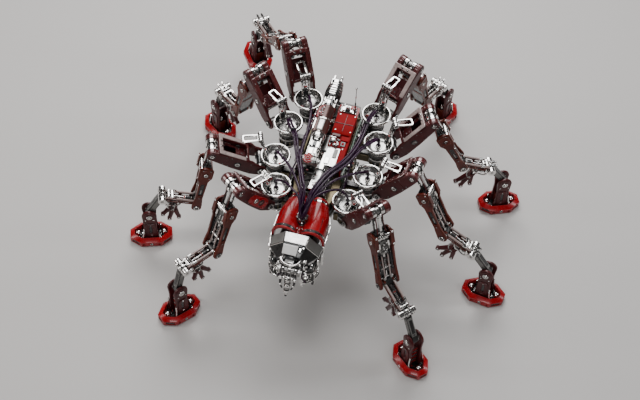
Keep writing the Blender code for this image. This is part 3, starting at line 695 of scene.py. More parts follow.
def hip_mast(dx=0.0, dz=0.0, lift=-1.5):
    """Stay rods from the hip drive to a crosswise barrel, and the long link frame out from it.

    dx and dz move the barrel; lift tilts the link frame, in degrees.
    """
    kit = Kit()
    foot_x, foot_z = 14.0, -6.0
    top_x, top_z = 26.5 + dx, 50.0 + dz

    def up(t, y=0.0):
        """A point on the slope of the stays, t of the way up."""
        return foot_x + (top_x - foot_x) * t, y, foot_z + (top_z - foot_z) * t

    with kit.both_sides():
        kit.tube([(13.2, 5.6, -8.6), up(0.04, 5.8), up(0.5, 6), up(0.96, 6.2)], 1.8, "mirror", 12)
        kit.rod(up(0.02, 5.8), up(0.09, 5.8), 2.6, "gun")
        kit.rod(up(0.76, 6.1), up(0.87, 6.1), 2.5, "gun")
        kit.stack((top_x, 3.2, top_z), OUT, [(0.8, 3.4, "gun"), (2.4, 4.8, "mirror"),
                                             (0.6, 3.4, "black"), (2.6, 4.8, "mirror"),
                                             (0.3, 3, "gun")], 24)
        kit.bolt((top_x, 9.8, top_z), OUT, 1.5, 0.4, "steel")
    kit.stack((top_x, -3.2, top_z), OUT, [(2, 3.8, "steel"), (2.4, 4.8, "mirror"),
                                          (2, 3.8, "steel")], 24)
    tilt = shift(top_x, 0, top_z - 1.2) @ spin(-lift, "Y") @ shift(-26.5, 0, 0)
    link = ([(28.5, -7.8), (40, -8.2)] + arc(54.6, -4, 4.4, -80, -10, 5)
            + arc(54.6, 4, 4.4, 10, 80, 5) + [(40, 8.2), (28.5, 7.8)])
    kit.prism(link, -1.6, 1.9, "mirror", bevel=1.2,
              holes=[slot_loop(32.2, 54.8, -4.5, 4.5, 1.8, 4)], place=tilt)
    kit.prism(slot_loop(31, 34.6, -5.6, 5.6, 1.2), -1, 1.4, "gun", bevel=0.4, place=tilt)
    # damper between the stays
    start = up(0.03)
    span = Vector(up(0.95)) - Vector(start)
    kit.stack(start, span, [(3, 2.6, "gun"), (17, 3.1, "black"), (1.6, 3.6, "chrome"),
                            (1.2, 2.8, "red"), (span.length - 25, 1.7, "mirror"),
                            (2.2, 2.6, "gun")], 14)
    for t in (0.4, 0.7):
        kit.rod(up(t, -6), up(t, 6), 1.1, "steel", 10)
    return kit.mesh("hip_mast")


# ---------------------------------------------------------------- leg: femur
def femur_shell(deck="gloss"):
    """Two lacquered flanges and the plates between them; deck is the top frame's material."""
    kit = Kit()
    flange = (arc(0, 0, 11, 112, 268, 10)
              + [(8, -13.6), (16, -15.5), (50, -14.6), (78, -12.2)]
              + arc(FEMUR, 0, 10, -78, 84, 10)
              + [(78, 13), (60, 15.2), (24, 15), (19, 13.6), (13, 10.2)])
    hip_pad = [(16, -13.2), (50, -12.4), (66, -11.2), (66, 12.4), (58, 13), (25, 12.8),
               (20.5, 11.6), (14, 7), (13, -8)]
    knee_pad = [(68, -11), (79, -10)] + arc(FEMUR, 0, 7.8, -75, 80, 8) + [(79, 10.8), (68, 12.2)]
    with kit.both_sides():
        kit.prism(flange, 19, 23.3, "maroon", "XZ", 0.8, holes=[circle(0, 0, 5.2)])
        kit.prism(hip_pad, 23.1, 24, "maroon", "XZ", 0.45, holes=[circle(46, -1, 6.2, 18)])
        kit.prism(knee_pad, 23.1, 24, "maroon", "XZ", 0.45)
        kit.lathe([(9.4, 0), (10, 0.6), (10, 6.6), (9.3, 7.3), (4.8, 7.3), (4.8, 0)],
                  32, "gloss", along_y(FEMUR, 12.4, 0), closed=True)
        kit.parts(f"""
            box 82 96  12.6 18.9  8.4 10.2  maroon
            box 84.5 94.5  14 21.4  10 11.4  gloss 0.5
            box 36 87.6  15 23.2  13.4 15.2  {deck}
            box 20 80  15.6 19.2  -9 9.6  maroon
        """)
    kit.prism([(28.5, -19.4), (88, -19.4), (88, 19.4), (28.5, 19.4)], 9.4, 13.6, "maroon",
              bevel=0.7, holes=[slot_loop(32, 79.5, -14, 14, 1.6, 2)])
    kit.parts(f"""
        box 81 87.6  -15.4 15.4  13.4 15.2  {deck}
        box 30 32.4  -14 14  13.2 14  gloss 0.2
        box 20 66  -19.4 19.4  -11.8 -8.8  maroon 0.7
        box 79 82  -16 16  -5.6 9.8  maroon
        box 24 62  -12 12  -12.9 -11.4  gun 0.5
    """)
    return kit.mesh("femur_shell")


def femur_works():
    """Bolts, cables and the sunk deck between the femur's flanges."""
    kit = Kit()
    with kit.both_sides():
        kit.disc_bolt((46, 23.2, -1), OUT, 4.4, 1.7, "chrome", "steel")
        kit.ring(5.1, 0.6, "black", along_y(46, 23.9, -1))
        kit.disc_bolt((FEMUR, 23.8, 0), OUT, 4, 1.3, "chrome", "steel")
        kit.ring(6.2, 0.5, "black", along_y(FEMUR, 23.9, 0))
        for x, z in ((24, 9), (62, 10), (20, -10.5), (61, -9.8), (72, 9.2), (72, -8.2)):
            kit.bolt((x, 24, z), OUT, 0.9, 0.6, "steel", "black")
        kit.parts(f"""
            hose 1.1 cable 5 / 26 13.4 -6 / 40 14 -3 / 62 14 -3.4 / 78 13.4 -1
            box 42 50  11.8 15.8  3.6 8  gun 0.5
            bolt 46 13.8 7.9  0 0 1  1.2
            box 60 74  12 15.8  1 6  maroon 0.5
            bolt 64 13.8 5.9  0 0 1  1
            bolt 71 13.8 5.9  0 0 1  1
            bolt 35 19.8 15.1  0 0 1  0.9 0.7 steel
            bolt 77 19.8 15.1  0 0 1  0.9 0.7 steel
            rod 84 5.8 14.8  84 5.8 16.6  2 mirror
            rod {FEMUR} 19 0  {FEMUR} 12.2 0  4.5 steel 16
            hose 1.7 mirror 4 10 / 78 6.5 2 / 86 6.8 8 / 92 7 10.6
        """)
    kit.prism([(28.5, -13.9), (79.2, -13.9), (79.2, 13.9), (28.5, 13.9)], 1.8, 4, "maroon",
              bevel=0.6, holes=[slot_loop(49.5, 76.4, -10.2, 10.2, 1.4, 2)])
    kit.box(32, 46, -4.2, 4.2, 3.8, 5.4, "maroon")
    for x in (32, 44):
        for y in (-10.2, 10.2):
            kit.bolt((x, y, 3.9), UP, 1.1, 0.9)
    kit.bolt((39, 0, 5.3), UP, 1.4)
    kit.greebles((72, 79, -12, 12, -6, 8), 16, 12, "chrome chrome steel gun black", (1.8, 4))
    kit.greebles((24, 66, -10, 10, -16.2, -12.6), 16, 13, "chrome gun steel black", (2, 5))
    kit.rod((24, -18.5, -4), (24, 18.5, -4), 1.8, "chrome")
    return kit.mesh("femur_works")


def thigh_panel():
    """Red plate laid over the flanges of one femur."""
    kit = Kit()
    outline = [(14, -10.6), (56, -10.2), (66, -7), (68, 2), (62, 9.6), (26, 11.2), (20, 9.4),
               (14, 5)]
    with kit.both_sides():
        kit.prism(outline, 23.9, 24.9, "red", "XZ", 0.35, holes=[circle(46, -1, 5.6, 18)])
        kit.ring(7.4, 0.7, "red", along_y(32, 24.8, 0), 32)
        kit.lathe([(6, 0), (6.2, 0.3), (6, 0.9), (3.6, 0.9), (3.6, 0)], 28, "gun",
                  along_y(32, 24.7, 0), closed=True)
        kit.bolt((32, 24.8, 0), OUT, 1.8, 0.9)
        kit.bolt((18, 24.8, -7.6), OUT, 0.9, 0.6)
        kit.bolt((18, 24.8, 3.4), OUT, 0.9, 0.6)
    return kit.mesh("thigh_panel")


# ---------------------------------------------------------------- leg: tibia
def tibia_shell():
    """Red-brown side plates, starting well beyond the knee."""
    kit = Kit()
    plate = ([(39.5, -4.5), (42, -9.5), (46.5, -13.2), (66, -13.2), (71.5, -10), (77, -7.6),
              (124, -6.4), (136, -8)] + arc(TIBIA, 0, 9.2, -105, 105, 12)
             + [(136, 7.8), (124, 6), (80, 7.8), (72, 11.8), (47, 11.8), (42.4, 8.8), (39.5, 4.5)])
    near_pad = [(43.5, -4), (45.6, -9.8), (63.6, -9.8), (67, -6.4), (67, 5.6), (63, 9), (46.6, 9),
                (43.5, 5)]
    far_pad = [(120, -4.4), (136, -5.8)] + arc(TIBIA, 0, 7.2, -95, 95, 10) + [(136, 5.6), (120, 4.2)]
    with kit.both_sides():
        kit.prism(plate, 15.2, 19.2, "rust", "XZ", 0.6,
                  holes=[slot_loop(84, 116, -3.9, 3.7, 1.6, 2), circle(TIBIA, 0, 4.4)])
        kit.prism(near_pad, 19, 20.4, "rust", "XZ", 0.5, holes=[circle(57, -0.2, 4.6)])
        kit.prism(far_pad, 19, 20.2, "rust", "XZ", 0.5)
        kit.parts("""
            box 84.6 115.4  15.4 17.4  -3.5 3.3  black 0.3
            box 87 97  17 18.2  -2.4 2  gun 0.3
            box 101 112  17 18  -1.2 1  steel 0.3
            box 41 70  12.6 19.6  11 13  rust
        """)
    kit.box(100, 106, -15.6, 15.6, -6, -3, "rust")
    kit.box(48, 66, -15.4, 15.4, -11.6, -8.6, "rust")
    return kit.mesh("tibia_shell")


def tibia_works():
    """Knee drums, struts, cylinders and guide rods between the tibia's plates."""
    kit = Kit()
    with kit.both_sides():
        kit.stack((0, 3.4, 0), OUT, [(1, 7.2, "gun"), (2.4, 8.9, "mirror")], 28)
        kit.lathe([(8.5, 0), (8.9, 0.3), (8.9, 4.4), (8.5, 4.8), (5.4, 4.8), (5.4, 0)],
                  28, "mirror", along_y(0, 6.8, 0), closed=True)
        kit.parts("""
            tube 1.7 gun 10 / 7.5 8.6 -2 / 24 8.8 -1.2 / 42 9.8 0.5
            tube 1.1 maroon / 7 7.4 5 / 22 6.6 4.8 / 42 8 6.4
            rod 26 6.2 -1.2  26 11 -1.2  1.8 chrome 10
            bolt 44.6 20.2 6.4  0 1 0  1.1 0.8 chrome black
            bolt 44.6 20.2 -7  0 1 0  1.1 0.8 chrome black
            bolt 65 20.2 -7.8  0 1 0  1.1 0.8 chrome black
            disc_bolt 57 19.2 -0.2  0 1 0  4 2.2 chrome steel
            bolt 122 20 0  0 1 0  1.1
        """)
        kit.parts("""  # caps on the far axle
            stack 0 20 0  0 1 0  24 / 0.8 6 gun / 1.1 5 chrome / 0.5 3.2 black
            bolt 0 22.3 0  0 1 0  1.5 0.4
            stack 0 10.8 0  0 1 0  22 / 1.4 6.4 chrome / 1.4 5.2 gun / 1.8 6.4 chrome
        """, at=(TIBIA, 0, 0))
        # the rod in blush along the top is a painted highlight
        kit.parts("""
            rod 43.5 16 12.6  43.5 16 14.2  2 mirror
            rod 68.5 16 12.6  68.5 16 14.2  2 mirror
            stack 46 7.6 5.6  1 0 0 / 1.6 2.8 gun / 6.4 3.9 mirror / 1.4 4.4 steel / 2.2 3.4 gun
            rod 84 6.2 3.6  141 5.4 3.8  1.25 blush 10
            box 86 90  4.2 8.2  2 5.6  gun
            box 136 142  4.2 9  0 5.8  steel 0.7
            rod 96 11 -1  138 10.4 -0.4  1 gun 8
            box 84 128  11.6 14.6  -3.6 2.8  black
            bolt 90 13.2 2.7  0 0 1  1
            bolt 122 13.2 2.7  0 0 1  1
        """)
    kit.parts("""
        rod 0 -3.4 0  0 3.4 0  6 steel 20
        stack 7.4 0 3  1 0 0.02  18 / 3 4.4 mirror / 1.6 3.6 gun / 27 3.1 white / 1.6 4 gun \
            / 5 4.6 chrome
        box 3.5 9.5  -3.2 3.2  6.6 9.2  mirror 0.7
        box 40 70  -14.8 14.8  -7.4 -3  gun 0.7
        box 41.5 46  -12.2 12.2  -4 4.4  gun 0.8
        rod 50 -14.6 7.6  50 14.6 7.6  3.1 mirror 18
        stack 50 -5.4 7.6  0 1 0  22 / 2.2 4.6 mirror / 0.8 3.2 black / 4.8 4.8 mirror \
            / 0.8 3.2 black / 2.2 4.6 mirror
    """)
    # ribbed grey plate under the cylinders
    kit.prism([(61, -8.6), (82, -8.4), (88, -5.6), (88, 5.6), (82, 8.4), (61, 8.6)],
              2, 5.4, "grey", bevel=0.7)
    kit.prism([(60, -11.4), (84, -11), (84, 11), (60, 11.4)], -3.6, 2.2, "black", bevel=0.7)
    kit.greebles((62, 84, -7.4, 7.4, 5.2, 7.4), 10, 15, "chrome gun mirror black", (1.4, 3))
    for side in (-1, 1):
        kit.rod((60, side * 9.4, 7.4), (71, side * 9.4, 7.4), 2.3, "mirror", 14)
        kit.rod((71, side * 9.4, 7.4), (79, side * 9.4, 6.6), 1.3, "steel", 10)
    for x in (68, 72, 76, 80):
        kit.box(x, x + 1.4, -6.4, 6.4, 5.2, 6.2, "gun", 0.3)
    kit.box(83, 86, -3.6, 3.6, 5.2, 6.4, "steel", 0.4)
    # dark backing under the guide rods
    kit.prism([(84, -13.8), (128, -12.6), (142, -9.4), (142, 9.4), (128, 12.6), (84, 13.8)],
              -5.2, -3.2, "black")
    kit.parts("""
        rod 98 -12.5 -1  98 12.5 -1  2.6 gun 14
        stack 88 0 0.4  1 0 0  14 / 7 3 chrome / 4 3.8 gun / 22 1.4 mirror / 4 2.6 gun \
            / 12 1.4 mirror
    """)
    kit.spring((99, 0, 0.4), (121, 0, 0.4), 2.4, 0.5, 9, "steel")
    kit.rod((118, -10.4, 1.8), (118, 10.4, 1.8), 1.3, "mirror", 10)
    kit.rod((TIBIA, -20.5, 0), (TIBIA, 20.5, 0), 3.9, "steel", 14)
    kit.greebles((55, 61, -10.4, 10.4, -3.2, 5), 16, 5, "chrome gun steel black", (1.4, 3.6))
    kit.greebles((86, 140, -12, 12, -3.6, -1), 26, 6, "gun black steel rust", (2, 5))
    return kit.mesh("tibia_works")


# ---------------------------------------------------------------- leg: shin
def shin_rails():
    """Top rails in a painted pale pink highlight over slotted side plates."""
    kit = Kit()
    plate = [(-2, -4.8), (58, -4.6), (SHIN, -1), (58, 3.4), (-2, 3.4)]
    with kit.both_sides():
        kit.parts("""
            tube 1.9 blush 12 / -1 8.6 3.6 / 3 8.6 4.9 / 30 8.6 5.2 / 56 8.6 5.2
            rod 1 8.6 4.4  6 8.6 4.8  2.3 mirror
        """)
        kit.prism(plate, 8, 9.8, "rust", "XZ", 0.4,
                  holes=[slot_loop(12, 26, -2.6, 1, 1.2), slot_loop(32, 48, -2.6, 1, 1.2)])
        kit.parts("""
            rod 0 6.6 0  0 10.2 0  7.4 rust 24 0.6
            rod 0 9.8 0  0 10.6 0  4.4 chrome 20
            bolt 9 9.7 1.8  0 1 0  0.8 0.6
            bolt 29 9.7 -0.9  0 1 0  0.8 0.6
            bolt 52 9.7 1.8  0 1 0  0.8 0.6
        """)
    return kit.mesh("shin_rails")


def shin_works():
    """The piston between the rails, the ankle drums and the hoses below."""
    kit = Kit()
    kit.lathe([(7.4, 0.3), (7.4, 13.2), (7, 13.6), (4.7, 13.6), (4.7, 0)], 24, "gun",
              along_y(0, -6.8, 0), closed=True)
    kit.parts("""
        stack 8 0 1.4  1 0 0  16 / 3 3 chrome / 9 3.6 gun / 1.8 4.2 chrome / 1.2 3.2 red \
            / 12 1.9 mirror / 3 3.2 chrome / 6 1.9 mirror
        box 6 50  -7.4 7.4  -4 -1.8  black 0.5
    """)
    kit.greebles((7, 40, -7, 7, -1.9, 2.6), 26, 21, "chrome gun gun steel black", (1.2, 3.2))
    kit.parts(f"""
        box 43 55  -7.2 7.2  -2 4.6  gun 0.9
        box 44 48  -9.2 9.2  4.4 8  mirror 0.9
        stack 52.4 -8 6.2  0 1 0 / 3.8 3.6 mirror / 0.8 2.6 black / 6.8 3 mirror \
            / 0.8 2.6 black / 3.8 3.6 mirror
        rod {SHIN} -6.8 0  {SHIN} 6.8 0  3.1 steel 14
    """)
    with kit.both_sides():
        kit.parts(f"""
            stack {SHIN} 6.4 0  0 1 0  30 / 4.8 7.5 mirror / 0.7 6.2 black / 4.4 7.5 mirror
            bolt {SHIN} 16.1 0  0 1 0  2.4 0.6
            rod 38 8.6 5.4  45 8.6 6.2  2.6 mirror 14
            rod 55 4.4 7.8  72 4.4 10  2 mirror
            rod 65 4.4 9.1  67.5 4.4 9.4  2.5 gun
            hose 1.5 mirror 5 / 50 11.4 2 / 56 12.6 -6 / 52 10.6 -14 / 44 6.4 -17
            hose 1.1 chrome 5 / 26 7.4 -4 / 30 9.8 -10 / 38 8 -15 / 44 5 -19
            rod 56 5.5 -4  48 5.5 -13  1.8 steel 10
            ball 55 9.4 -8  3.2 mirror
        """)
    kit.box(42, 55, -6.6, 6.6, -9, -3.6, "gun", 0.8)
    kit.greebles((42, 55, -6.2, 6.2, -13.5, -9), 12, 22, "chrome steel gun mirror", (1.8, 3.6))
    return kit.mesh("shin_works")


def claw():
    """A three-toed claw hanging below the shin."""
    kit = Kit()
    root = [(31, -3.4), (30.5, -12), (28.5, -24), (26.5, -33), (31, -40), (38, -40), (44, -33),
            (44.5, -24), (45.5, -12), (47, -3.4)]
    # (x, z) of the root, middle and tip of each toe
    toes = (((31, -33), (25, -44), (18.5, -55)),
            ((35.5, -36), (34.4, -50), (34, -63.5)),
            ((40, -33), (44.6, -43), (48.6, -53.5)))
    toe_radii = [5, 4.8, 4.4, 4, 3.6]
    kit.prism(root, -3.4, 3.4, "maroon", "XZ", 0.9, holes=[slot_loop(33.6, 41.4, -28, -12, 2.6)])
    kit.box(26, 50, -5.6, 5.6, -5.4, -3.2, "maroon")
    kit.box(29, 47, -4.6, 4.6, -14, -11.4, "gun")
    kit.greebles((24, 50, -6.6, 6.6, -15, -5), 22, 25, "chrome gun maroon mirror steel", (1.8, 4.2))
    kit.greebles((28, 45, -5.4, 5.4, -33, -16), 10, 26, "chrome gun steel maroon", (1.6, 3.2))
    kit.parts("""
        hose 1.2 mirror 5 / 47 3.8 -8 / 51 4.6 -17 / 47 4.2 -27 / 42 3.4 -33
        hose 1.2 steel 5 / 27 -3.8 -8 / 23.5 -4.6 -17 / 26 -4.2 -27 / 30 -3.4 -33
    """)
    for (x0, z0), (x1, z1), (x2, z2) in toes:
        kit.tube([(x0, 0, z0), ((x0 + x1) / 2, 0, (z0 + z1) / 2), (x1, 0, z1),
                  ((x1 + x2) / 2, 0, (z1 + z2) / 2), (x2, 0, z2)], toe_radii, "maroon", 12)
        kit.rod((x2, -3.4, z2), (x2, 3.4, z2), 4, "maroon", 16, 0.4)
        for side in (1, -1):
            kit.disc_bolt((x2, side * 3.3, z2), (0, side, 0), 2.7, 0.9)
        for side in (1, -1):
            kit.bolt((x1, side * 3.2, z1), (0, side, 0), 1.1)
    for side in (-1, 1):
        kit.disc_bolt((35.5, side * 3.3, -34.6), (0, side, 0), 3, 1.2, "chrome", "steel")
        kit.bolt((32.6, side * 3.3, -8), (0, side, 0), 1.2)
        kit.bolt((44, side * 3.3, -8), (0, side, 0), 1.2)
    kit.parts("stack 37.4 -5.2 -20  0 1 0  14 / 2.2 2.4 mirror / 6 1.8 steel / 2.2 2.4 mirror")
    return kit.mesh("claw")


# ---------------------------------------------------------------- leg: tarsus
def tarsus_bar():
    kit = Kit()
    bar = (arc(0, 0, 6.8, 95, 265, 10) + [(10, -5.8), (44, -5.8)]
           + arc(TARSUS, 0, 6.8, -85, 85, 10) + [(44, 6.2), (10, 6.2)])
    kit.prism(bar, -5.6, 5.6, "gun", "XZ", 0.8,
              holes=[circle(0, 0, 3.9, 12), circle(TARSUS, 0, 3.9, 12)])
    kit.lathe([(7.2, 0), (7.5, 0.4), (7.5, 10.4), (7.2, 10.8), (4.2, 10.8), (4.2, 0)],
              28, "mirror", along_y(0, -5.4, 0), closed=True)
    kit.parts("""
        box 9.5 46  -4.9 4.9  5.8 7.2  grey 0.5
        box 13 40  -3.2 3.2  7 7.7  gun 0.3
        bolt 43 0 7.1  0 0 1  1.4
    """)
    with kit.both_sides():
        kit.prism(slot_loop(11, 43, -3.6, 4, 2.4), 5.4, 6.1, "grey", "XZ", 0.3)
        kit.bolt((16, 5.9, 0.2), OUT, 1.2, 0.3)
        kit.bolt((38, 5.9, 0.2), OUT, 1.2, 0.3)
    return kit.mesh("tarsus_bar")


# ---------------------------------------------------------------- leg: foot
# the shoe's plan (z, y), anticlockwise; FOOT_TURN lays the plan across the foot's X
FOOT_OUTLINE = [(39, 9.5), (19, 24.5), (-19, 24.5), (-39, 9.5),
                (-39, -9.5), (-19, -24.5), (19, -24.5), (39, -9.5)]
FOOT_TURN = axes((0, 0, 1), (0, 1, 0), (1, 0, 0))


def foot_ring():
    """The red shoe: a bevelled eight-sided wall with slots and sockets cut into its sides."""
    # (inset, x) round the section of the wall
    section = [(8, 58), (0.6, 62.4), (0, 63.2), (0, 73.6), (1, 75), (9.4, 75), (9.4, 71),
               (8.6, 70.4), (8.6, 59.2)]
    verts, faces = [], []
    for inset, x in section:
        verts += [(p.x, p.y, x) for p in moved_loop(FOOT_OUTLINE, inset)]
    sides, rows = len(FOOT_OUTLINE), len(section)
    for row in range(rows):
        faces += wall(row * sides, (row + 1) % rows * sides, sides)
    body = Kit()
    body.add(verts, faces, "red", FOOT_TURN)

    cutter = Kit()
    details = []
    for i in range(sides):
        a, b = Vector(FOOT_OUTLINE[i]), Vector(FOOT_OUTLINE[(i + 1) % sides])
        length = (b - a).length
        middle, run = (a + b) / 2, (b - a).normalized()
        # X along the side, Y along the foot, Z out of the wall
        face = FOOT_TURN @ axes((run.x, run.y, 0), (0, 0, 1), (run.y, -run.x, 0),
                                (middle.x, middle.y, 68.2))
        if length > 30:
            cuts = [(circle(0, 0, 3.6, 12), -1.6)]
            cuts += [(slot_loop(x - 2.4, x + 2.4, -2.8, 2.8, 0.8), -1.4) for x in (-14.5, 14.5)]
        elif length > 20:
            cuts = [(slot_loop(-8.4, 8.4, -3.3, 3.3, 1), -1.8)]
        else:
            cuts = [(slot_loop(-6.4, 6.4, -3.2, 3.2, 1), -1.7)]
        for loop, depth in cuts:
            cutter.prism(loop, depth, 2, "black", bevel=0, place=face)
        details.append((length, face))

    wall_obj, cut_obj = (bpy.data.objects.new(name, kit.mesh(name))
                         for name, kit in (("foot_ring_body", body), ("foot_slots", cutter)))
    for obj in (wall_obj, cut_obj):
        bpy.context.scene.collection.objects.link(obj)
    cut = wall_obj.modifiers.new("slots", "BOOLEAN")
    cut.operation, cut.solver, cut.object = "DIFFERENCE", "EXACT", cut_obj
    bpy.context.view_layer.update()
    depsgraph = bpy.context.evaluated_depsgraph_get()
    done = bpy.data.meshes.new_from_object(wall_obj.evaluated_get(depsgraph))
    bpy.data.objects.remove(wall_obj)
    bpy.data.objects.remove(cut_obj)

    kit = Kit()
    kit.verts = [Vector(v.co) / MM for v in done.vertices]
    kit.faces = [tuple(p.vertices) for p in done.polygons]
    kit.mats = ["red"] * len(kit.faces)
    for length, face in details:
        if length > 30:
            outward = (face @ Vector((0, 0, 1))) - (face @ Vector((0, 0, 0)))
            kit.disc_bolt(face @ Vector((0, 0, -1.6)), outward, 3, 1.8)
        elif length > 20:
            kit.prism(slot_loop(-7.2, 7.2, -2, 2, 0.7), -1.65, -0.9, "black", bevel=0.2,
                      place=face)
            kit.prism(slot_loop(-4.6, -1, -1.1, 1.1, 0.4), -1, -0.4, "gun", bevel=0.2,
                      place=face)
        else:
            kit.prism(slot_loop(-4.8, 4.8, -1.9, 1.9, 0.6), -1.45, -0.8, "black", bevel=0.2,
                      place=face)
    return kit.mesh("foot_ring")


def foot_works():
    """Cheek plates from the joint down to the shoe's floor, and the works between them."""
    kit = Kit()
    kit.prism(moved_loop(FOOT_OUTLINE, 8.9), 70.6, 72.4, "gun", bevel=0.4, place=FOOT_TURN)
    kit.prism(moved_loop(FOOT_OUTLINE, 1.2), 74.2, 74.95, "black", bevel=0.2,
              holes=[moved_loop(FOOT_OUTLINE, 8.6)], place=FOOT_TURN)
    cheek = arc(0, 0, 13.8, 88, 272, 16) + [(22, -11.6), (46, -12.8), (60, -14.6), (70.8, -14.6),
                                            (70.8, 14.6), (60, 14.6), (46, 12.8), (22, 11.6)]
    joint_pad = arc(0, 0, 10.6, 95, 265, 12) + [(10, -9.4), (17, -9), (17, 9), (10, 9.4)]
    shoe_pad = [(21, -8), (26, -9.4), (54, -10.6), (58, -8), (58, 4), (52, 8), (26, 8), (21, 5)]
    with kit.both_sides():
        kit.prism(cheek, 8.2, 12.6, "maroon", "XZ", 0.9)
        kit.prism(joint_pad, 12.4, 13.6, "maroon", "XZ", 0.4)
        kit.prism(shoe_pad, 12.4, 14.2, "maroon", "XZ", holes=[slot_loop(27, 48, -3.4, 2.2, 2)])
        kit.prism(slot_loop(27.4, 47.6, -3, 1.8, 1.8), 12.4, 13, "black", "XZ", 0.2)
        # the small box in blush at the back of each cheek is a painted highlight
        kit.parts("""
            disc_bolt 0 13.5 0  0 1 0  5.6 2 chrome steel
            ball 0 15 0  2 mirror 12
            bolt 53.5 14 -1  0 1 0  1.5 0.9
            bolt 24 14 -1  0 1 0  1.1
            rod 8.5 13.4 7.6  8.5 14.8 7.6  1.3 chrome 8
            rod 8.5 13.4 -7.6  8.5 14.8 -7.6  1.3 chrome 8
            rod 0 6.4 0  0 8.4 0  6.4 chrome 22
            box -12.4 -9.6  8.6 12.2  -6 6  blush 0.5
            hose 1.4 mirror 5 / 70 14 17.5 / 62 15 16 / 50 14.2 13.5 / 36 12.2 12.4
            rod 71 14.8 -18  62 14.8 -18  2.2 steel
            ball 61 14.8 -18  2.6 mirror 14
        """)
    kit.rod((0, -8, 0), (0, 8, 0), 3.1, "steel", 14)
    post_z = 23.6
    for z in (-post_z, post_z):
        kit.parts("""
            stack 71.6 0 0  -1 0 0 / 3 6.8 gun / 1.4 5.4 chrome / 2 3.8 steel
            ball 62.4 0 0  5.6 mirror 20
        """, at=(0, 0, z))
    # ribbed ramp between the cheeks
    kit.box(22, 70.8, -8.4, 8.4, 3, 5, "maroon")
    for i in range(7):
        x = 26 + 6.4 * i
        kit.box(x, x + 2.6, -7.6, 7.6, 4.8, 6.6, "steel" if i % 2 else "red", 0.5)
    kit.parts("""
        box 44 70.8  -8.4 8.4  -9.2 -7  rust
        stack 70.5 0 -1.8  -1 0 0  16 / 16 4.4 gun / 1.6 5.2 chrome / 1.2 4.2 red \
            / 14 2.4 mirror / 3 4 chrome
    """)
    kit.spring((52, 0, -1.8), (38, 0, -1.8), 3.8, 0.55, 6, "chrome")
    # studs on the floor, clear of the cheeks and the posts
    rng = random.Random(4)
    for _ in range(34):
        z, y = rng.uniform(-28, 28), rng.uniform(-13.5, 13.5)
        if abs(z) > 11 and (abs(abs(z) - post_z) > 6.4 or abs(y) > 8):
            height = rng.uniform(1.5, 6.0)
            kit.rod((71.6, y, z), (71.6 - height, y, z), rng.uniform(0.9, 2.2),
                    rng.choice(["chrome", "steel", "black", "red"]), 10)
    return kit.mesh("foot_works")


# ---------------------------------------------------------------- body: hood
def hood_section(y, grow=0.0):
    """The hood's outline (x, z) at a station, from the +X sill over both humps to the -X sill."""
    t = (y - HOOD_FRONT) / HOOD_LENGTH
    straight = 0.45  # share of the length before the hood narrows
    half_width = 45.2 - t if t < straight else 44.75 - 12.5 * ((t - straight) / 0.55) ** 1.5
    half_width += grow
    radius = 0.47 * half_width
    top = 222.0 + 4.2 * math.sin(math.pi * min(1.0, t * 0.9 + 0.1)) + grow
    valley = 210.5 + 2.0 * t + grow
    half = [(half_width, 191), (half_width, 196)]
    half += arc(half_width - radius, top - radius, radius, -8, 138, 12)
    last_x, last_z = half[-1]
    for s in (0.35, 0.7, 1.0):
        eased = s * s * (3 - 2 * s)
        half.append((last_x * (1 - s) + 3.0 * s, last_z + (valley - last_z) * eased))
    half.append((1.6, valley + 0.8 * (1 - t)))
    return half + [(-x, z) for x, z in reversed(half)]


def hood():
    """The red shell: an outer and an inner skin, joined along every edge."""
    spans, thickness = 20, 2.6
    stations = [HOOD_FRONT + HOOD_LENGTH * i / spans for i in range(spans + 1)]
    verts, faces = [], []
    for y in stations:
        verts += [(x, y, z) for x, z in hood_section(y)]
    for y in reversed(stations):
        verts += [(x, y, z) for x, z in hood_section(y, -thickness)]
    count = len(hood_section(HOOD_FRONT))
    rows = len(stations) * 2
    for a in range(rows):
        b = (a + 1) % rows
        for i in range(count - 1):
            faces.append((a * count + i, a * count + i + 1, b * count + i + 1, b * count + i))
    for a in range(spans):
        low = [row * count for row in (a, a + 1, rows - 2 - a, rows - 1 - a)]
        high = [start + count - 1 for start in low]
        faces.append(tuple(low))
        faces.append((high[0], high[3], high[2], high[1]))
    kit = Kit()
    kit.add(verts, faces, "red")
    return kit.mesh("hood_shell_red", 50)


def hood_band(kit, side, near, far, y0, y1, mat, outer, inner=0.5):
    """A band that follows one hump between two stations.

    near and far bound it in distance from the middle; outer and inner are how far it stands out
    of and sinks into the hood's surface.
    """
    verts = []
    for y in (y0, y1):
        points = [Vector(p) for p in hood_section(y) if near < p[0] * side < far]
        last = len(points) - 1
        normals = []
        for i in range(last + 1):
            ahead = (points[min(i + 1, last)] - points[max(i - 1, 0)]).normalized()
            normals.append(Vector((ahead.y, -ahead.x)))
        pairs = list(zip(points, normals))
        verts += [(p.x + n.x * outer, y, p.y + n.y * outer) for p, n in pairs]
        verts += [(p.x - n.x * inner, y, p.y - n.y * inner) for p, n in reversed(pairs)]
    count = len(verts) // 2
    faces = wall(0, count, count)
    faces.append(tuple(reversed(range(count))))
    faces.append(tuple(range(count, 2 * count)))
    kit.add(verts, faces, mat)


# near, far, y0, y1, material, outer and inner of the bands on each hump
HOOD_BANDS = (
    (6, 60, -192.4, -190.6, "red", 1.5, 0.6), (6, 60, -190.4, -187.4, "black", 0.8),
    (9, 17, -190.2, -187, "mirror", 1.5), (22, 31, -190.2, -187, "mirror", 1.5),
    (36, 44, -190.2, -187, "mirror", 1.5), (6, 60, -186.8, -185.6, "mirror", 0.8),
    (6, 60, -185.4, -184.6, "black", 0.5), (8, 60, -122.5, -119.8, "mirror", 1.1),
    (8, 60, -119.6, -118.4, "black", 0.7), (8, 60, -118.2, -113.4, "red", 1.2),
)


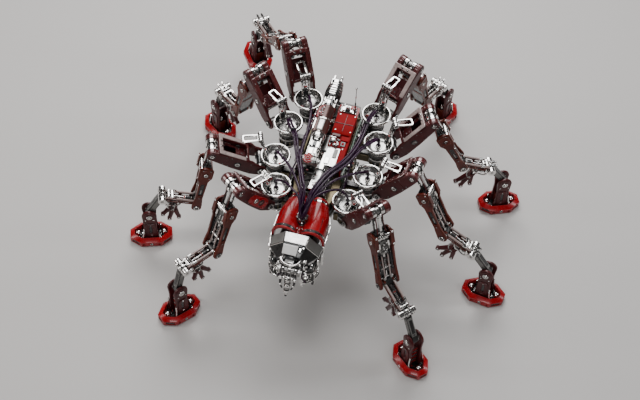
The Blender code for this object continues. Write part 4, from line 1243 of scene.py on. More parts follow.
def hood_trim():
    kit = Kit()
    for side in (1, -1):
        for band in HOOD_BANDS:
            hood_band(kit, side, *band)
        kit.parts("""
            tube 0.45 black 6 / 35.5 -181 221.6 / 34.7 -160 223.4 / 30.5 -135 222.2 / 27 -123 220.6
            box 46 47.8  -188 -150  190.5 198.5  mirror
            bolt 47.6 -183 194.5  1 0 0  1.3 0.7
            bolt 47.6 -172 194.5  1 0 0  1.3 0.7
            bolt 47.6 -161 194.5  1 0 0  1.3 0.7
        """, side)
        fairing = [(36, -150), (47, -146), (44, -134), (34, -122), (31, -126)]
        kit.prism([(side * x, y) for x, y in fairing], 196, 199, "white", bevel=0.8)
    # wedge and block in the valley between the humps
    kit.prism([(-2.6, -192.5), (2.6, -192.5), (1.6, -179), (-1.6, -179)], 209.8, 214.6, "red",
              bevel=0.8)
    kit.parts("""
        tube 0.7 mirror / 0 -192.6 214.8 / 0 -186 215.6 / 0 -179 213.4
        box -5 5  -146 -118  209.5 214.8  red 1
    """)
    for y in (-142, -136, -130, -124):
        kit.box(-3.6, 3.6, y - 1.4, y + 1.4, 214.6, 216, "chrome" if y > -140 else "red", 0.4)
    for side in (-1, 1):
        kit.parts("""
            rod 7 -140 214.5  7 -118 214.5  1.4 mirror 10
            ball 7 -141.4 214.6  2.2 mirror 12
            ball 4.5 -180 212.6  1.6 mirror 12
            ball 6.4 -175 213.6  1.2 chrome 12
        """, side)
    return kit.mesh("hood_trim")


# ---------------------------------------------------------------- body: head, neck and jaw
# stations of the head's core: y, then (x, z) down the +X flank
HEAD_SECTIONS = (
    (-193.6, ((20, 214.6), (46.6, 192.4), (46.6, 172), (24, 157))),
    (-211, ((18.4, 208.6), (43.4, 186.6), (41.8, 168), (22, 156))),
    (-227, ((11.6, 194.6), (28.6, 180.6), (26.6, 168), (14, 161))),
)
# plates on both flanks: four corners on the +X side, thickness, material, bevel
FLANK_PLATES = (
    (((19.6, -210.4, 207.8), (42.6, -210.4, 187.6), (45.6, -194.4, 193.2), (21.6, -194.4, 213.6)),
     1.6, "grey", 0.6),
    (((12.8, -226.6, 193.6), (28, -226.6, 181), (41.6, -212, 186.2), (19, -212, 206.4)),
     1.3, "gun", 0.5),
    (((43.6, -210.6, 185.6), (42.4, -210.6, 170), (46.8, -194.6, 174), (46.8, -194.6, 190.6)),
     1.3, "steel", 0.5),
)
HEAD_FLANK = """
    # edges and side blocks
    tube 1.3 mirror / 46.6 -194.6 194 / 43.6 -211.2 188.2 / 29 -227 182
    tube 1 mirror / 21.4 -194 215.4 / 19.4 -211 209.6
    tube 1 mirror / 19.4 -211.6 208.8 / 43.4 -211.6 188
    box 44.4 47.8  -197.6 -190  164 200.5  mirror 1
    box 40.4 44.4  -216 -206  164 184.5  mirror 1
    box 43 46.4  -204.6 -200.6  166 190  white 0.8
    # front works
    stack 30 -214.5 173  0.35 -1 -0.2  18 / 6 5.4 gun / 1.6 6.4 chrome / 5 4.4 steel \
        / 1.4 5.2 chrome / 2.6 3 black
    ball 22 -230 174  4 mirror
    ball 35 -217 164.5  3.6 mirror
    ball 26 -228 165  2.8 mirror 14
    rod 12.5 -228 187.5  27 -224 178.5  2 mirror 10
    hose 1.6 mirror 6 10 / 38 -206 170 / 42 -217 166 / 35 -228 160 / 22 -231 162 / 12 -224 159
    hose 1.2 cable 6 / 26 -212 158 / 31 -224 153 / 23 -233 158 / 15 -232 170
    hose 1.1 black 6 / 40 -210 178 / 38 -221 177 / 31 -229 173 / 27 -229 166
    # cheeks that hold the jaw
    box 14 20  -236 -225  162 181  gun 0.7
    box 15 19  -246 -234  165.5 178.5  steel 0.7
    disc_bolt 18.8 -240 172  1 0 0  4.2 1.2
    rod 15.8 -233 184  15.8 -224 189.5  2.2 mirror
    ball 15.8 -233.6 183.6  2.8 mirror 14
    box 28 37  -222.5 -216  168.5 176.5  chrome 1
    box 22 29  -233.5 -226  152.5 159  chrome 1
    box 33 40  -219 -210  153.5 160  gun 1
    rod 37 -213 156.5  37 -224 156.5  2.6 mirror
    rod 30 -224 155.5  30 -235 152  1.8 chrome 10
    bolt 47.8 -193.8 196.5  1 0 0  1 0.6
    bolt 47.8 -193.8 190  1 0 0  1 0.6
    bolt 47.8 -193.8 183.5  1 0 0  1 0.6
    bolt 47.8 -193.8 177  1 0 0  1 0.6
    # hanging works below
    box 16 33  -222 -202  134 156  gun 1.2
    box 20 40  -214 -200  140 160  steel 1.2
    rod 30 -216 121  30 -216 152  4.6 chrome 18
    rod 30 -216 116.5  30 -216 121.5  3 black 14
    rod 19 -226 118  19 -220 150  3.2 mirror 14
    ball 19 -226.2 117  4 mirror
    ball 38.6 -211 139  4.2 mirror
    box 33 42  -210 -201  126 140  chrome 1
    box 12 17  -214 -204  122 156  gun 0.8
    box 21 27  -228 -221  131 141  mirror 0.9
    hose 1.8 mirror 6 10 / 40 -204 150 / 44 -214 142 / 37 -224 134 / 25 -229 128 / 14 -222 126
    hose 1.3 cable 6 / 36 -212 130 / 30 -226 126 / 22 -230 136 / 17 -227 148
"""


def plate(kit, corners, thick, mat, bevel):
    """A chamfered plate lying on four corners that share a plane."""
    corners = [Vector(c) for c in corners]
    origin = corners[0]
    x = (corners[1] - origin).normalized()
    normal = x.cross(corners[3] - origin).normalized()
    y = normal.cross(x)
    points = [((c - origin).dot(x), (c - origin).dot(y)) for c in corners]
    kit.prism(points, 0, thick, mat, bevel=bevel, place=axes(x, y, normal, origin))


def head():
    """Faceted pod: plates on a dark core, with chrome edges and a crowded underside."""
    kit = Kit()
    verts = []
    for y, half in HEAD_SECTIONS:
        verts += [(x, y, z) for x, z in [*half, *((-x, z) for x, z in reversed(half))]]
    count = 8
    faces = wall(0, count, count) + wall(count, 2 * count, count)
    faces.append(tuple(reversed(range(count))))
    faces.append(tuple(range(2 * count, 3 * count)))
    kit.add(verts, faces, "black")

    plate(kit, [(-18.6, -210.6, 208.9), (18.6, -210.6, 208.9), (20.8, -193.6, 214.9),
                (-20.8, -193.6, 214.9)], 2.4, "white", 0.9)
    plate(kit, [(-17.4, -228.4, 199.2), (7.4, -228.4, 199.2), (8, -214.4, 208.4),
                (-18, -214.4, 208.4)], 2.6, "pale", 0.9)
    kit.parts("""
        box -17.5 8  -226.5 -214  190 199.4  black 0.8
        box -19 14  -213.6 -210.8  202 209  black 0.5
        box 9.6 13.6  -222 -213.5  196 206  mirror 0.7
        box 14.6 18  -216 -211.5  198 207.5  mirror 0.7
    """)
    for corners, thick, mat, bevel in FLANK_PLATES:
        plate(kit, corners, thick, mat, bevel)
        turned = [(-x, y, z) for x, y, z in (corners[i] for i in (1, 0, 3, 2))]
        plate(kit, turned, thick, mat, bevel)
    for side in (-1, 1):
        kit.parts(HEAD_FLANK, side)
        kit.greebles((side * 14, side * 41, -227, -203, 124, 154), 46, 61 + side,
                     "chrome gun steel mirror black chrome", (2, 6))
    # brow, curved guard and the works under it
    kit.parts("""
        box -12 4  -231.5 -226  190 198  black
        hose 2.3 mirror 7 12 / -19 -228 187 / -13 -236 185 / -2 -239 184.6 / 9 -236 185 \
            / 15 -229 187
        hose 1.5 chrome 7 10 / -15 -230 180 / -8 -236.5 178.6 / 3 -236.5 178.6 / 12 -230 180
        box -10 5  -236.6 -226  186 189.5  white 0.9
        box -9.5 8.5  -233 -224  168 178  steel 0.8
    """)
    kit.greebles((-40, 40, -224, -196, 151.5, 157.5), 70, 31, "chrome gun steel black chrome",
                 (2, 6.5))
    # blocks and studs that stand out of the front
    front = axes((1, 0, 0), (0, 0, 1), (0, -1, 0), (0, -224, 0))
    rng = random.Random(77)
    for _ in range(80):
        x, z = rng.uniform(-38, 36), rng.uniform(154, 188)
        if (abs(x) < 9 and z < 178) or (abs(x) + (z - 160) * 0.5) > 42:
            continue
        deep = rng.uniform(1.5, 7.0) if abs(x) < 27 else rng.uniform(-8.0, -2.0)
        wide, tall = rng.uniform(1.6, 4.6), rng.uniform(1.6, 4.6)
        mat = rng.choice(["mirror", "chrome", "gun", "black", "steel", "mirror"])
        if rng.random() < 0.5:
            kit.box(x, x + wide, z, z + tall, -6 if deep > 0 else -14, deep, mat, 0.4, front)
        else:
            root = -8 if deep > 0 else -14
            kit.rod(front @ Vector((x, z, root)), front @ Vector((x, z, deep)), wide * 0.5, mat)
    kit.box(45, 49, -207, -197.5, 160, 187, "white", 1)
    kit.box(-50, -46, -203, -196, 158, 176, "mirror", 1)
    for i, mat in enumerate(("chrome", "gun", "steel", "gun", "chrome")):
        kit.rod((-18 + 9 * i, -214, 156.5), (-18 + 9 * i, -228, 162), 1.6, mat, 10)
    return kit.mesh("head_pod_shell")


def neck():
    kit = Kit()
    kit.box(-23.5, 23.5, -194, -118.6, 167, 189, "gun", 1.2)
    kit.box(-33.5, 33.5, -187.5, -150.5, 160.5, 188.4, "grey", 1.6)
    for side in (-1, 1):
        kit.parts("""
            box 33 35.5  -184 -154  165 184  steel 0.8
            bolt 35.4 -180 174.5  1 0 0  1.9 1
            bolt 35.4 -169 174.5  1 0 0  1.9 1
            bolt 35.4 -158 174.5  1 0 0  1.9 1
            hose 1.8 cable 6 / 25 -150 172 / 31 -140 178 / 29 -128 172 / 25 -120 176
            hose 1.2 chrome 6 / 25 -150 181 / 28 -138 186 / 26 -124 183 / 22 -118 186
            rod 26 -149 166  26 -122 166  2.4 steel
        """, side)
        kit.greebles((side * 24, side * 33, -149, -124, 156.5, 163), 12, 41,
                     "chrome gun steel black", (2.5, 6))
    kit.rod((0, PLUG_Y, 188), (0, PLUG_Y, 207.6), 7.2, "gun", 20)
    return kit.mesh("neck_frame")


def jaw():
    """Crosswise hub with a hanging snout of discs between two mandibles."""
    kit = Kit()
    x, y, z = JAW_PIVOT
    kit.parts("""
        stack -12.6 0 0  1 0 0  24 / 3 6.9 chrome / 1 5.6 black / 6.2 6.6 steel / 5 7 mirror \
            / 6.2 6.6 steel / 1 5.6 black / 2.8 6.9 chrome
        rod -20.4 0 0  20.4 0 0  2.9 steel
    """, at=JAW_PIVOT)
    for side in (-1, 1):
        kit.disc_bolt((side * 19.6, y, z), (side, 0, 0), 4.6, 1.7)
        path = smooth_path([(side * 10, y - 3, z - 4), (side * 12.5, y - 11, z - 10),
                            (side * 11.5, y - 17, z - 20), (side * 8, y - 19, z - 29)], 5)
        last = len(path) - 1
        kit.tube(path, [3.2 - 1.9 * i / last for i in range(last + 1)], "gun", 10)
        kit.parts("""
            ball 12.6 -12 -9.6  3.6 mirror 14
            ball 11.2 -17.4 -20.6  2.6 mirror 14
            rod 8 -1 -4  3.6 -10 -17  1.4 chrome 8
            rod 5 -4 3  4.6 -15 -14  1.3 mirror 8
            box 5.4 9.2  -13 -5  -12 -5  chrome 0.9
        """, side, JAW_PIVOT)
    kit.parts("""
        stack 0 -4 -2  0 -15 -33 / 4 5.4 gun / 1.8 6.8 mirror / 6 4.8 steel / 2.4 6.4 mirror \
            / 5 4.4 chrome / 1.6 5.8 black / 4 4 mirror / 2.6 5.6 mirror / 5 4.4 steel \
            / 2 5.2 gun / 4 4.6 mirror / 4.6 3.4 chrome / 3.6 2.2 black
        box -3.4 3.4  -12.4 -8.4  -12 -4  mirror 0.9
    """, at=JAW_PIVOT)
    return kit.mesh("jaw_gear")


# ---------------------------------------------------------------- body: thorax
def thorax():
    kit = Kit()
    core = [(34, -117.5), (43.5, -70), (43.5, 70), (34, 117.5),
            (-34, 117.5), (-43.5, 70), (-43.5, -70), (-34, -117.5)]
    kit.prism(core, 160, 190, "gun", bevel=1.5)
    kit.prism(moved_loop(core, 1.8), 189.6, 203.6, "brass", bevel=1.2)
    kit.prism(moved_loop(core, -0.9), 172, 177, "brass", bevel=0.8)
    # keel, with a thin plate on each side
    kit.prism([(-88, 160.5), (-69, 147), (69, 147), (88, 160.5)], -17.5, 17.5, "gun", "YZ", 1.4)
    keel_plate = [(-74, 156), (-60, 148), (60, 148), (74, 156)]
    kit.prism(keel_plate, 17.2, 19.4, "steel", "YZ", 0.7)
    kit.prism(keel_plate, -19.4, -17.2, "steel", "YZ", 0.7)
    for i in range(7):
        kit.bolt((0, -54 + 18 * i, 147.2), (0, 0, -1), 2.2, 1)
    for side in (-1, 1):
        for y in (-78, 0, 78):
            kit.parts("""
                box 43 51.5  -16 16  164 199  brass 1
                box 44.4 50.1  -12 12  198.8 202.4  gun 0.7
            """, side, (0, y, 0))
            kit.greebles((side * 43, side * 51.5, y - 14, y + 14, 202, 206), 9, 51 + y,
                         "chrome steel black brass red", (1.8, 4.6))
            for dy in (-10, 0, 10):
                for z in (193, 170):
                    kit.bolt((side * 51.5, y + dy, z), (side, 0, 0), 1.3, 0.9)
            kit.parts("""
                rod 53.6 -14 182  53.6 14 182  3.2 steel 14
                rod 53.6 -6 182  53.6 6 182  3.9 chrome 16
            """, side, (0, y, 0))
        kit.parts("""
            hose 1.6 cable 8 / 47 -96 206 / 49 -60 208.5 / 46.5 -20 206.5 / 49 20 208.5 \
                / 46.5 60 206.5 / 46 96 207
            hose 1.1 chrome 8 / 42 -100 205.4 / 45 -50 206 / 43 0 205.4 / 45 50 206 / 41 100 205.4
        """, side)
    kit.parts("""
        box -30 30  116.5 119.5  166 198  grey 0.8
        disc_bolt -20 119.4 182  0 1 0  4 1.4
        disc_bolt 0 119.4 182  0 1 0  4 1.4
        disc_bolt 20 119.4 182  0 1 0  4 1.4
        box -26 26  -120.5 -117  192 203  steel 0.8
    """)
    return kit.mesh("thorax_hull")


def hip_drum(x, y):
    """A yaw drum under one hip, with its bracket to the thorax."""
    kit = Kit()
    centre = shift(x, y, 0)
    kit.lathe([(15.2, 194.8), (15.9, 194.2), (15.9, 191.6), (14.4, 191), (14.4, 187.2),
               (15.9, 186.6), (15.9, 180.4), (13.6, 179.6), (13.6, 171.6), (15.6, 171),
               (15.6, 166.4), (12, 162.6), (8, 158.4)], 36, "gun", centre)
    for radius, top in ((16.2, 186.2), (16.1, 170.6)):
        hoop = [(radius, top), (radius + 0.2, top - 0.4), (radius + 0.2, top - 2.2),
                (radius, top - 2.6), (14, top - 2.6), (14, top)]
        kit.lathe(hoop, 36, "chrome", centre, closed=True)
    for i in range(12):
        spoke = centre @ spin(30 * i)
        kit.rod(spoke @ Vector((15, 0, 171.4)), spoke @ Vector((15, 0, 179.8)), 1.1,
                "steel" if i % 2 else "brass", 8)
        outward = (spoke @ Vector((1, 0, 0))) - (spoke @ Vector((0, 0, 0)))
        kit.bolt(spoke @ Vector((15.8, 0, 189)), outward, 0.9, 0.5)
    side = 1 if x > 0 else -1
    inner, outer = side * 42, x - side * 10
    kit.box(inner, outer, y - 8.2, y + 8.2, 168, 185, "brass", 1)
    kit.box(inner, outer, y - 5.4, y + 5.4, 184.6, 188.4, "gun", 0.8)
    kit.stack((x - side * 2, y, 158.2), (0, 0, -1),
              [(1.6, 9.4, "chrome"), (2, 6.6, "black"), (1.2, 4.4, "chrome")], 24)
    return kit.mesh("hip_drum")


def spine():
    """Segmented polished half-round housing along the back."""
    kit = Kit()
    axis_z, chamfer = 204.6, 0.5
    # y0, y1, radius, material
    bands = ((-105, -88, 26.4, "mirror"), (-87, -84, 24.8, "black"), (-83, -62, 26.6, "steel"),
             (-61, -58, 24.8, "black"), (-57, -20, 26.6, "mirror"), (-19, -16, 25, "black"),
             (-15, 22, 26.4, "steel"), (23, 26, 25, "black"), (27, 62, 26.5, "mirror"),
             (63, 66, 25, "black"), (67, 95, 26.2, "steel"))
    for y0, y1, radius, mat in bands:
        verts, faces = [], []
        rim = arc(0, 0, radius, 0, 180, 24)
        for y, inset in ((y0, chamfer), (y0 + chamfer, 0), (y1 - chamfer, 0), (y1, chamfer)):
            scale = (radius - inset) / radius
            verts += [(x * scale, y, axis_z + z * scale) for x, z in rim]
        count = len(rim)
        for row in range(3):
            faces += wall(row * count, (row + 1) * count, count)
        faces.append(tuple(reversed(range(count))))
        faces.append(tuple(range(3 * count, 4 * count)))
        kit.add(verts, faces, mat)
    for y in (-96, -72, -38, 4, 44, 82):
        for angle in (38, 142):
            outward = Vector((math.cos(math.radians(angle)), 0, math.sin(math.radians(angle))))
            kit.bolt(Vector((0, y, axis_z)) + outward * 26.3, outward, 1.1)
    kit.box(-7, 7, -104, -66, 230, 231.4, "white", 0.5)
    kit.greebles((-6, 6, -101, -68, 231, 233.2), 10, 61, "chrome steel red black", (2, 5))
    return kit.mesh("spine_housing_bands")


# ---------------------------------------------------------------- body: covers and boards
def side_cover():
    """Scarlet cover on the +X half of the back, stepped down towards the head."""
    kit = Kit()
    # raised rear half, with thin seams
    kit.prism([(23, 229.8), (69.5, 229.8), (69.5, 242), (50, 242.2), (26.5, 240.8), (23, 238.4)],
              0.6, 36.2, "scarlet", "YZ", 0.8)
    kit.box(1, 35.8, 44.4, 45.2, 241.6, 242.8, "black", 0.2)
    kit.box(18.6, 19.2, 28, 66, 241.4, 242.6, "black", 0.1)
    # sunk middle
    kit.prism([(-4, 229.8), (24, 229.8), (24, 235.2), (-4, 234)], 0.6, 36.2, "scarlet", "YZ", 0.6)
    kit.parts("""
        box 2.6 18  16.5 22.5  235 239.2  maroon
        box 21 34.6  10.5 20.5  235 237.4  scarlet 0.5
        box 22.5 31  -2 8.5  234.4 236.6  gun 0.5
        box 24.4 28.8  0.5 5.5  236.4 237.4  scarlet 0.4
        stack 8 7 234.4  0 0 1 / 1.8 5.8 gun / 2.8 4.4 black / 0.9 4.8 gun / 1.2 2.6 chrome
        stack 15 -1 234  0 0 1  18 / 2 4 gun / 1.8 2.8 chrome / 1 1.8 scarlet
        ball 4 -2 236  2.4 mirror 14
        rod 2 14 237.4  12 14 237.4  1.5 mirror 10
    """)
    kit.greebles((2, 20, -4, 16, 234.4, 238.6), 26, 71, "black gun chrome scarlet steel black",
                 (1.8, 4))
    # front apron: pale plate beside the red wall
    kit.prism([(-46.5, 229.4), (-4, 229.8), (-4, 231.8), (-46.5, 230.6)], 2, 25, "white", "YZ", 0.6)
    kit.box(4, 12, -44, -30, 230.4, 232.4, "mirror")
    kit.box(15, 22, -28, -8, 231, 232.6, "grey", 0.5)
    kit.prism([(-46.5, 229), (-4, 229), (-4, 236.2), (-8, 236), (-46.5, 232.4)],
              25.2, 36.2, "scarlet", "YZ", 0.8)
    # outer wall
    kit.prism([(-46.5, 206.5), (69.5, 206.5), (69.5, 240), (24, 238.2), (-4, 233.8),
               (-46.5, 230.6)], 33.4, 36.4, "scarlet", "YZ", 0.8,
              holes=[slot_loop(-38, -8, 211, 224, 2, 2), slot_loop(0, 58, 211, 228, 2, 2)])
    kit.box(32.6, 34, -39, -7, 210, 225, "grey", 0.3)
    kit.box(32.6, 34, -1, 59, 210, 229, "grey", 0.3)
    for place in ((6, 66, 241.9), (33, 66, 241.9), (33, 29, 240.9), (6, 29, 240.9),
                  (33, -43, 232.4), (29, -8, 235.6)):
        kit.bolt(place, UP, 1.2)
    return kit.mesh("side_cover_red")


def board():
    kit = Kit()
    kit.parts("""
        box 40.6 42.2  -55.5 81.5  205 223.6  pcb 0.3
        box 37.6 40.2  -52 78  205 219.4  grey 0.5
        box 37.6 38.8  -40 66  219 224.6  brass 0.3
    """)
    for y in (-50, 16, 72):
        kit.box(37.8, 43.2, y, y + 6, 204.8, 210, "steel", 0.4)
        kit.bolt((42.4, y + 3, 216), (1, 0, 0), 1.3, 1)
    kit.greebles((42, 44.2, -52, 78, 206.5, 212), 40, 81, "black gun chrome brass", (1.2, 5))
    for y in range(-46, 74, 9):
        kit.box(42, 43.4, y, y + 5, 214.5, 220.5, "black" if y % 2 else "gun", 0.3)
        kit.box(42.9, 43.8, y + 1.2, y + 3.6, 216, 219, "steel", 0.2)
    return kit.mesh("control_board_stack")


def service_duct():
    """Service duct along the -X side of the thorax."""
    kit = Kit()
    kit.box(-42.6, -40, -70, 88, 205, 220, "grey", 0.5)
    kit.box(-39.6, -37, -60, 80, 205, 224, "brass", 0.5)
    for y in range(-62, 84, 12):
        kit.rod((-41.2, y, 219.6), (-41.2, y, 222.6), 1.6, "chrome", 10)
        kit.box(-43.8, -42.4, y - 3, y + 3, 208, 216, "red", 0.3)
    kit.parts("""
        hose 1.3 cable 7 / -41 -66 224 / -39 -30 226 / -41.5 10 224 / -39 50 226 / -40 84 222
    """)
    return kit.mesh("service_duct")


# ---------------------------------------------------------------- body: rear barrel
def cradle():
    kit = Kit()
    x, y, z = BARREL_PIVOT
    kit.box(x - 15.6, x + 15.6, y - 13.6, y + 21.6, 231.9, 235.6, "gun", 0.8)
    cheek = [(y - 10.6, 234.4), (y + 10.6, 234.4)] + arc(y, z, 7.3, 10, 170, 10)
    for side in (-1, 1):
        kit.prism(cheek, x + side * 12.8, x + side * 15.8, "steel", "YZ", 0.6,
                  holes=[slot_loop(y - 4, y + 4, 238, 243, 1.8)])
        kit.disc_bolt((x + side * 15.8, y, z), (side, 0, 0), 4.6, 1.6, "chrome", "red")
        kit.bolt((x + side * 13, y + 17, 235.4), UP, 1.6, 0.9)
        kit.bolt((x + side * 13, y - 10.6, 235.4), UP, 1.4, 0.9)
    kit.rod((x - 16, y, z), (x + 16, y, z), 3.1, "steel", 14)
    kit.greebles((x - 9, x + 9, y - 10, y + 19, 235.2, 239), 14, 91, "chrome gun red steel", (2, 5))
    return kit.mesh("barrel_cradle_frame")


def barrel():
    """Rear barrel, drawn about its pivot with its axis along Y."""
    kit = Kit()
    kit.lathe([(8.3, 23.6), (8.6, 23.2), (8.6, 0.4), (8.3, 0), (3.9, 0), (3.9, 23.6)],
              28, "steel", along((-11.8, 0, 0), (11.8, 0, 0)), closed=True)
    for x in (-9, -3, 3, 9):
        kit.ring(8.5, 0.6, "gun", along((x, 0, 0), (x + 1, 0, 0)), 30)
    kit.parts("""
        stack -2.5 -1.5 6.6  0 -0.25 1  28 / 1.6 8.6 red / 0.8 7 chrome / 0.9 6 red \
            / 0.8 3.6 mirror / 0.6 2 red
        box -8.8 8.8  7 25  -7 6.8  chrome 1.2
        box -6.6 2  9 22  6.4 8.6  mirror 0.9
        box 3.4 8  10 24  6.4 9.2  mirror 0.9
        box -9 9  27 41  -7 6.4  mirror 1.2
        box -3.4 3.4  29 38  6 8.2  black 0.5
        box -7.6 -4.4  28 40  6 8.8  mirror 0.7
        box -8 8  24 28  -6 5.4  black
    """)
    for side in (-1, 1):
        kit.parts("""
            bolt 8.9 12 0  1 0 0  1.8 1
            bolt 9 34 0  1 0 0  1.8 1
            rod 10.2 14 -3.5  10.2 58 -3.5  1.5 mirror 10
            rod 8.4 30 6  8.4 60 6.6  1.2 chrome 10
        """, side)
    kit.parts("""
        stack 0 40.5 0  0 1 0  32 / 2 8.6 black / 2 9.8 chrome / 2.4 7.6 gun / 2 10.6 chrome \
            / 8.4 12.4 mirror / 1.6 11.2 black
        ball 0 47.5 9.4  2.8 mirror 14
        box -4 4  49.5 57  11.6 13.4  white
    """)
    # sleeve, fluted over part of its turn
    outline = []
    for i in range(60):
        angle = 2 * math.pi * i / 60
        turned = math.degrees(math.atan2(math.sin(angle - 0.25), math.cos(angle - 0.25)))
        flute = (0.5 if i % 2 else -0.5) if -110 < turned < 40 else 0
        outline.append(((12.9 + flute) * math.cos(angle), (12.9 + flute) * math.sin(angle)))
    kit.prism(outline, 58.6, 125, "sleeve", bevel=0.8, place=along_y(0, 0, 0))
    kit.prism(slot_loop(-5.4, 5.4, 62, 88, 1.2, 2), 11.6, 13.7, "grey")
    kit.prism(slot_loop(-3.8, 3.8, 64, 86, 0.8, 2), 13.4, 14, "steel", bevel=0.2)
    kit.box(-6.4, 6.4, 89, 91.5, 11, 13.8, "chrome", 0.5)
    for y in (59.6, 93, 124):
        kit.ring(13.1, 0.8, "chrome", along_y(0, y, 0), 44)
    # works on the -X side and on top of the sleeve
    kit.box(-15.2, -12.2, 70, 100, -3.5, 3.5, "mirror", 0.7)
    kit.box(-14.6, -9, 96, 121, 0.5, 7.5, "red", 0.8)
    kit.prism(slot_loop(-10.5, -2.4, 95, 122, 1.6, 2), 10.2, 13.2, "maroon", bevel=0.6)
    rng = random.Random(12)
    for i in range(10):
        y = 97 + 2.5 * i
        kit.rod((-9.4, y, 12.8), (-9.4, y, rng.uniform(13.8, 15.2)), 0.9,
                rng.choice(["red", "chrome", "red", "black"]), 8)
        kit.rod((-4.4, y, 12.8), (-4.4, y, rng.uniform(13.6, 14.6)), 0.7,
                rng.choice(["red", "mirror", "black"]), 8)
    kit.parts("""
        box -8.2 -5.4  99 103.6  13 14.2  red 0.4
        box -8.2 -5.4  107 111.6  13 14.2  black 0.4
        box -8.2 -5.4  115 119.6  13 14.2  red 0.4
        stack -14.4 112 4  -1 0 0  18 / 1 3.6 gun / 0.9 2.8 red / 0.8 1.6 chrome
        # rear block
        stack 0 125 0  0 1 0  30 / 1.4 11.6 black / 11 9.8 mirror / 1.2 11.2 gun / 9 9.8 chrome
        box -8.4 6.4  127 137  5 11.6  mirror 1
        box -6.4 7.6  139 147  5 11  mirror 1
        box 1.6 5.6  128 145  10.4 12.6  black 0.5
        box -7 -3  129 135  11.4 13  white
        box -5 -1  141 146  10.8 12.4  gun
    """)
    for side in (-1, 1):
        kit.parts("""
            rod 10.6 126 4  10.6 147 4  1.5 mirror 10
            ball 10.6 137 5  2.2 chrome 12
        """, side)
    # rings and muzzle
    kit.parts("""
        stack 0 148 0  0 1 0  36 / 2.2 13.4 black / 3 12.8 mirror / 2.2 14.9 gun / 3 13.8 mirror \
            / 2 15.2 black / 3.2 14.6 mirror / 2.4 15.2 gun / 4.6 15 mirror / 2.2 13.6 black \
            / 4.2 14.4 mirror / 2 11.8 gun / 8 13.2 mirror
    """)
    for y in (150.5, 155.5, 161, 166.5):
        kit.box(-5.5, 5.5, y, y + 2.8, 11.6, 14.3, "mirror", 0.5)
    kit.parts("""
        box -9.4 -3.6  174 190  5.4 10.4  mirror 0.8
        box 3.4 8.4  176 186  4.4 9  mirror 0.8
        box -8.6 -4.8  188 203.6  0.8 5.2  mirror 0.8
        rod 6.2 182 3.1  6.2 203.6 3.1  2.1 mirror
        rod 6.2 197 3.1  6.2 200 3.1  2.7 gun
    """)
    return kit.mesh("rear_barrel_body")


# ---------------------------------------------------------------- body: tail and antenna
def tail():
    kit = Kit()
    kit.parts("""
        box -1.6 35.6  71.5 93.6  232.2 237.6  red 0.8
        box 2.4 31.6  74 90.6  237.4 241  chrome 0.8
        box 6 12  75 84  240.6 244.4  white
        rod 16 80 240.4  16 80 246  4.4 gun 20
        ball 16 80 247.4  3 mirror
        rod 23 76 240.4  23 76 244.5  2.2 mirror
        ball 7 88.5 241.8  2.2 mirror 12
        box 20 31  82.5 90  240.6 243.6  red 0.7
        box -1.6 35.6  90.5 97.6  232.2 235.6  gun 0.7
    """)
    kit.prism([(-29.5, 206.4), (35.5, 206.4), (35.5, 233), (30, 235.6), (-24, 235.6),
               (-29.5, 230)], 97.2, 100.8, "grey", "XZ", 0.8,
              holes=[slot_loop(-20, 0, 212, 228, 2.4, 2), slot_loop(8, 28, 212, 228, 2.4, 2)])
    kit.greebles((0, 34, 72, 92, 240.6, 244), 22, 101, "chrome red black steel chrome", (1.6, 3.8))
    for x in (-26, 4, 32):
        for z in (209, 232):
            kit.bolt((x, 100.8, z), (0, 1, 0), 1.3, 0.9)
    for x in (-10, 18):
        kit.stack((x, 96.5, 220), (0, 1, 0),
                  [(3, 6, "gun"), (1.2, 4.4, "chrome"), (0.8, 2.4, "black")])
    return kit.mesh("tail_fittings")


def antenna():
    kit = Kit()
    x, y = 28, 84
    kit.parts("""
        stack 0 0 244.6  0 0 1  16 / 1.6 3.1 chrome / 3.2 2.4 red / 3 1.7 red / 1.2 1.9 chrome
    """, at=(x, y, 0))
    kit.spring((x, y, 253), (x, y, 259), 1.2, 0.4, 5, "gun")
    kit.parts("""
        rod 0 0 252.5  0 0 295.6  0.62 gun 8
        rod 0 0 272  0 0 276  1 red 8
        ball 0 0 296.8  2 mirror 14
    """, at=(x, y, 0))
    return kit.mesh("antenna_whip")


# ---------------------------------------------------------------- body: cables
# points between the plug and each hip, in order round the plug
CABLE_ROUTES = {
    "L1": [(12, -146, 257), (30, -128, 262), (50, -112, 254)],
    "L2": [(13, -141, 257), (32, -102, 256), (54, -74, 250), (72, -54, 240)],
    "L3": [(11, -138, 260), (26, -94, 260), (46, -52, 253), (60, -10, 247), (73, 20, 239)],
    "L4": [(8, -136, 263), (22, -90, 264), (42, -48, 256), (54, 0, 250), (57, 52, 246),
           (60, 86, 238)],
    "R4": [(-5, -136, 261), (-17, -108, 263), (-33, -60, 258), (-38, 0, 252), (-45, 52, 248),
           (-56, 86, 239)],
    "R3": [(-8, -138, 258), (-24, -92, 258), (-42, -50, 252), (-58, -8, 246), (-74, 20, 238)],
    "R2": [(-11, -141, 255), (-30, -106, 254), (-50, -78, 248), (-70, -56, 240)],
    "R1": [(-12, -146, 252), (-28, -132, 254), (-46, -116, 247)],
}
DOUBLE_CABLES = ("L3", "L4", "R3")
FIRST_SOCKET, SOCKET_PITCH = -67.5, 45  # degrees round the plug


def cable_path(order, leg):
    x, y = HIPS[leg]
    centre = Vector((0, PLUG_Y, 0))
    turn = math.radians(FIRST_SOCKET + SOCKET_PITCH * order)
    around = Vector((math.cos(turn), math.sin(turn), 0))
    start = [centre + around * 5.2 + Vector((0, 0, 221)), centre + around * 5.4 + Vector((0, 0, 237))]
    end = [(x * 0.985, y * 0.985 - 1, 230), (x, y, 214)]
    return smooth_path(start + CABLE_ROUTES[leg] + end, 12)


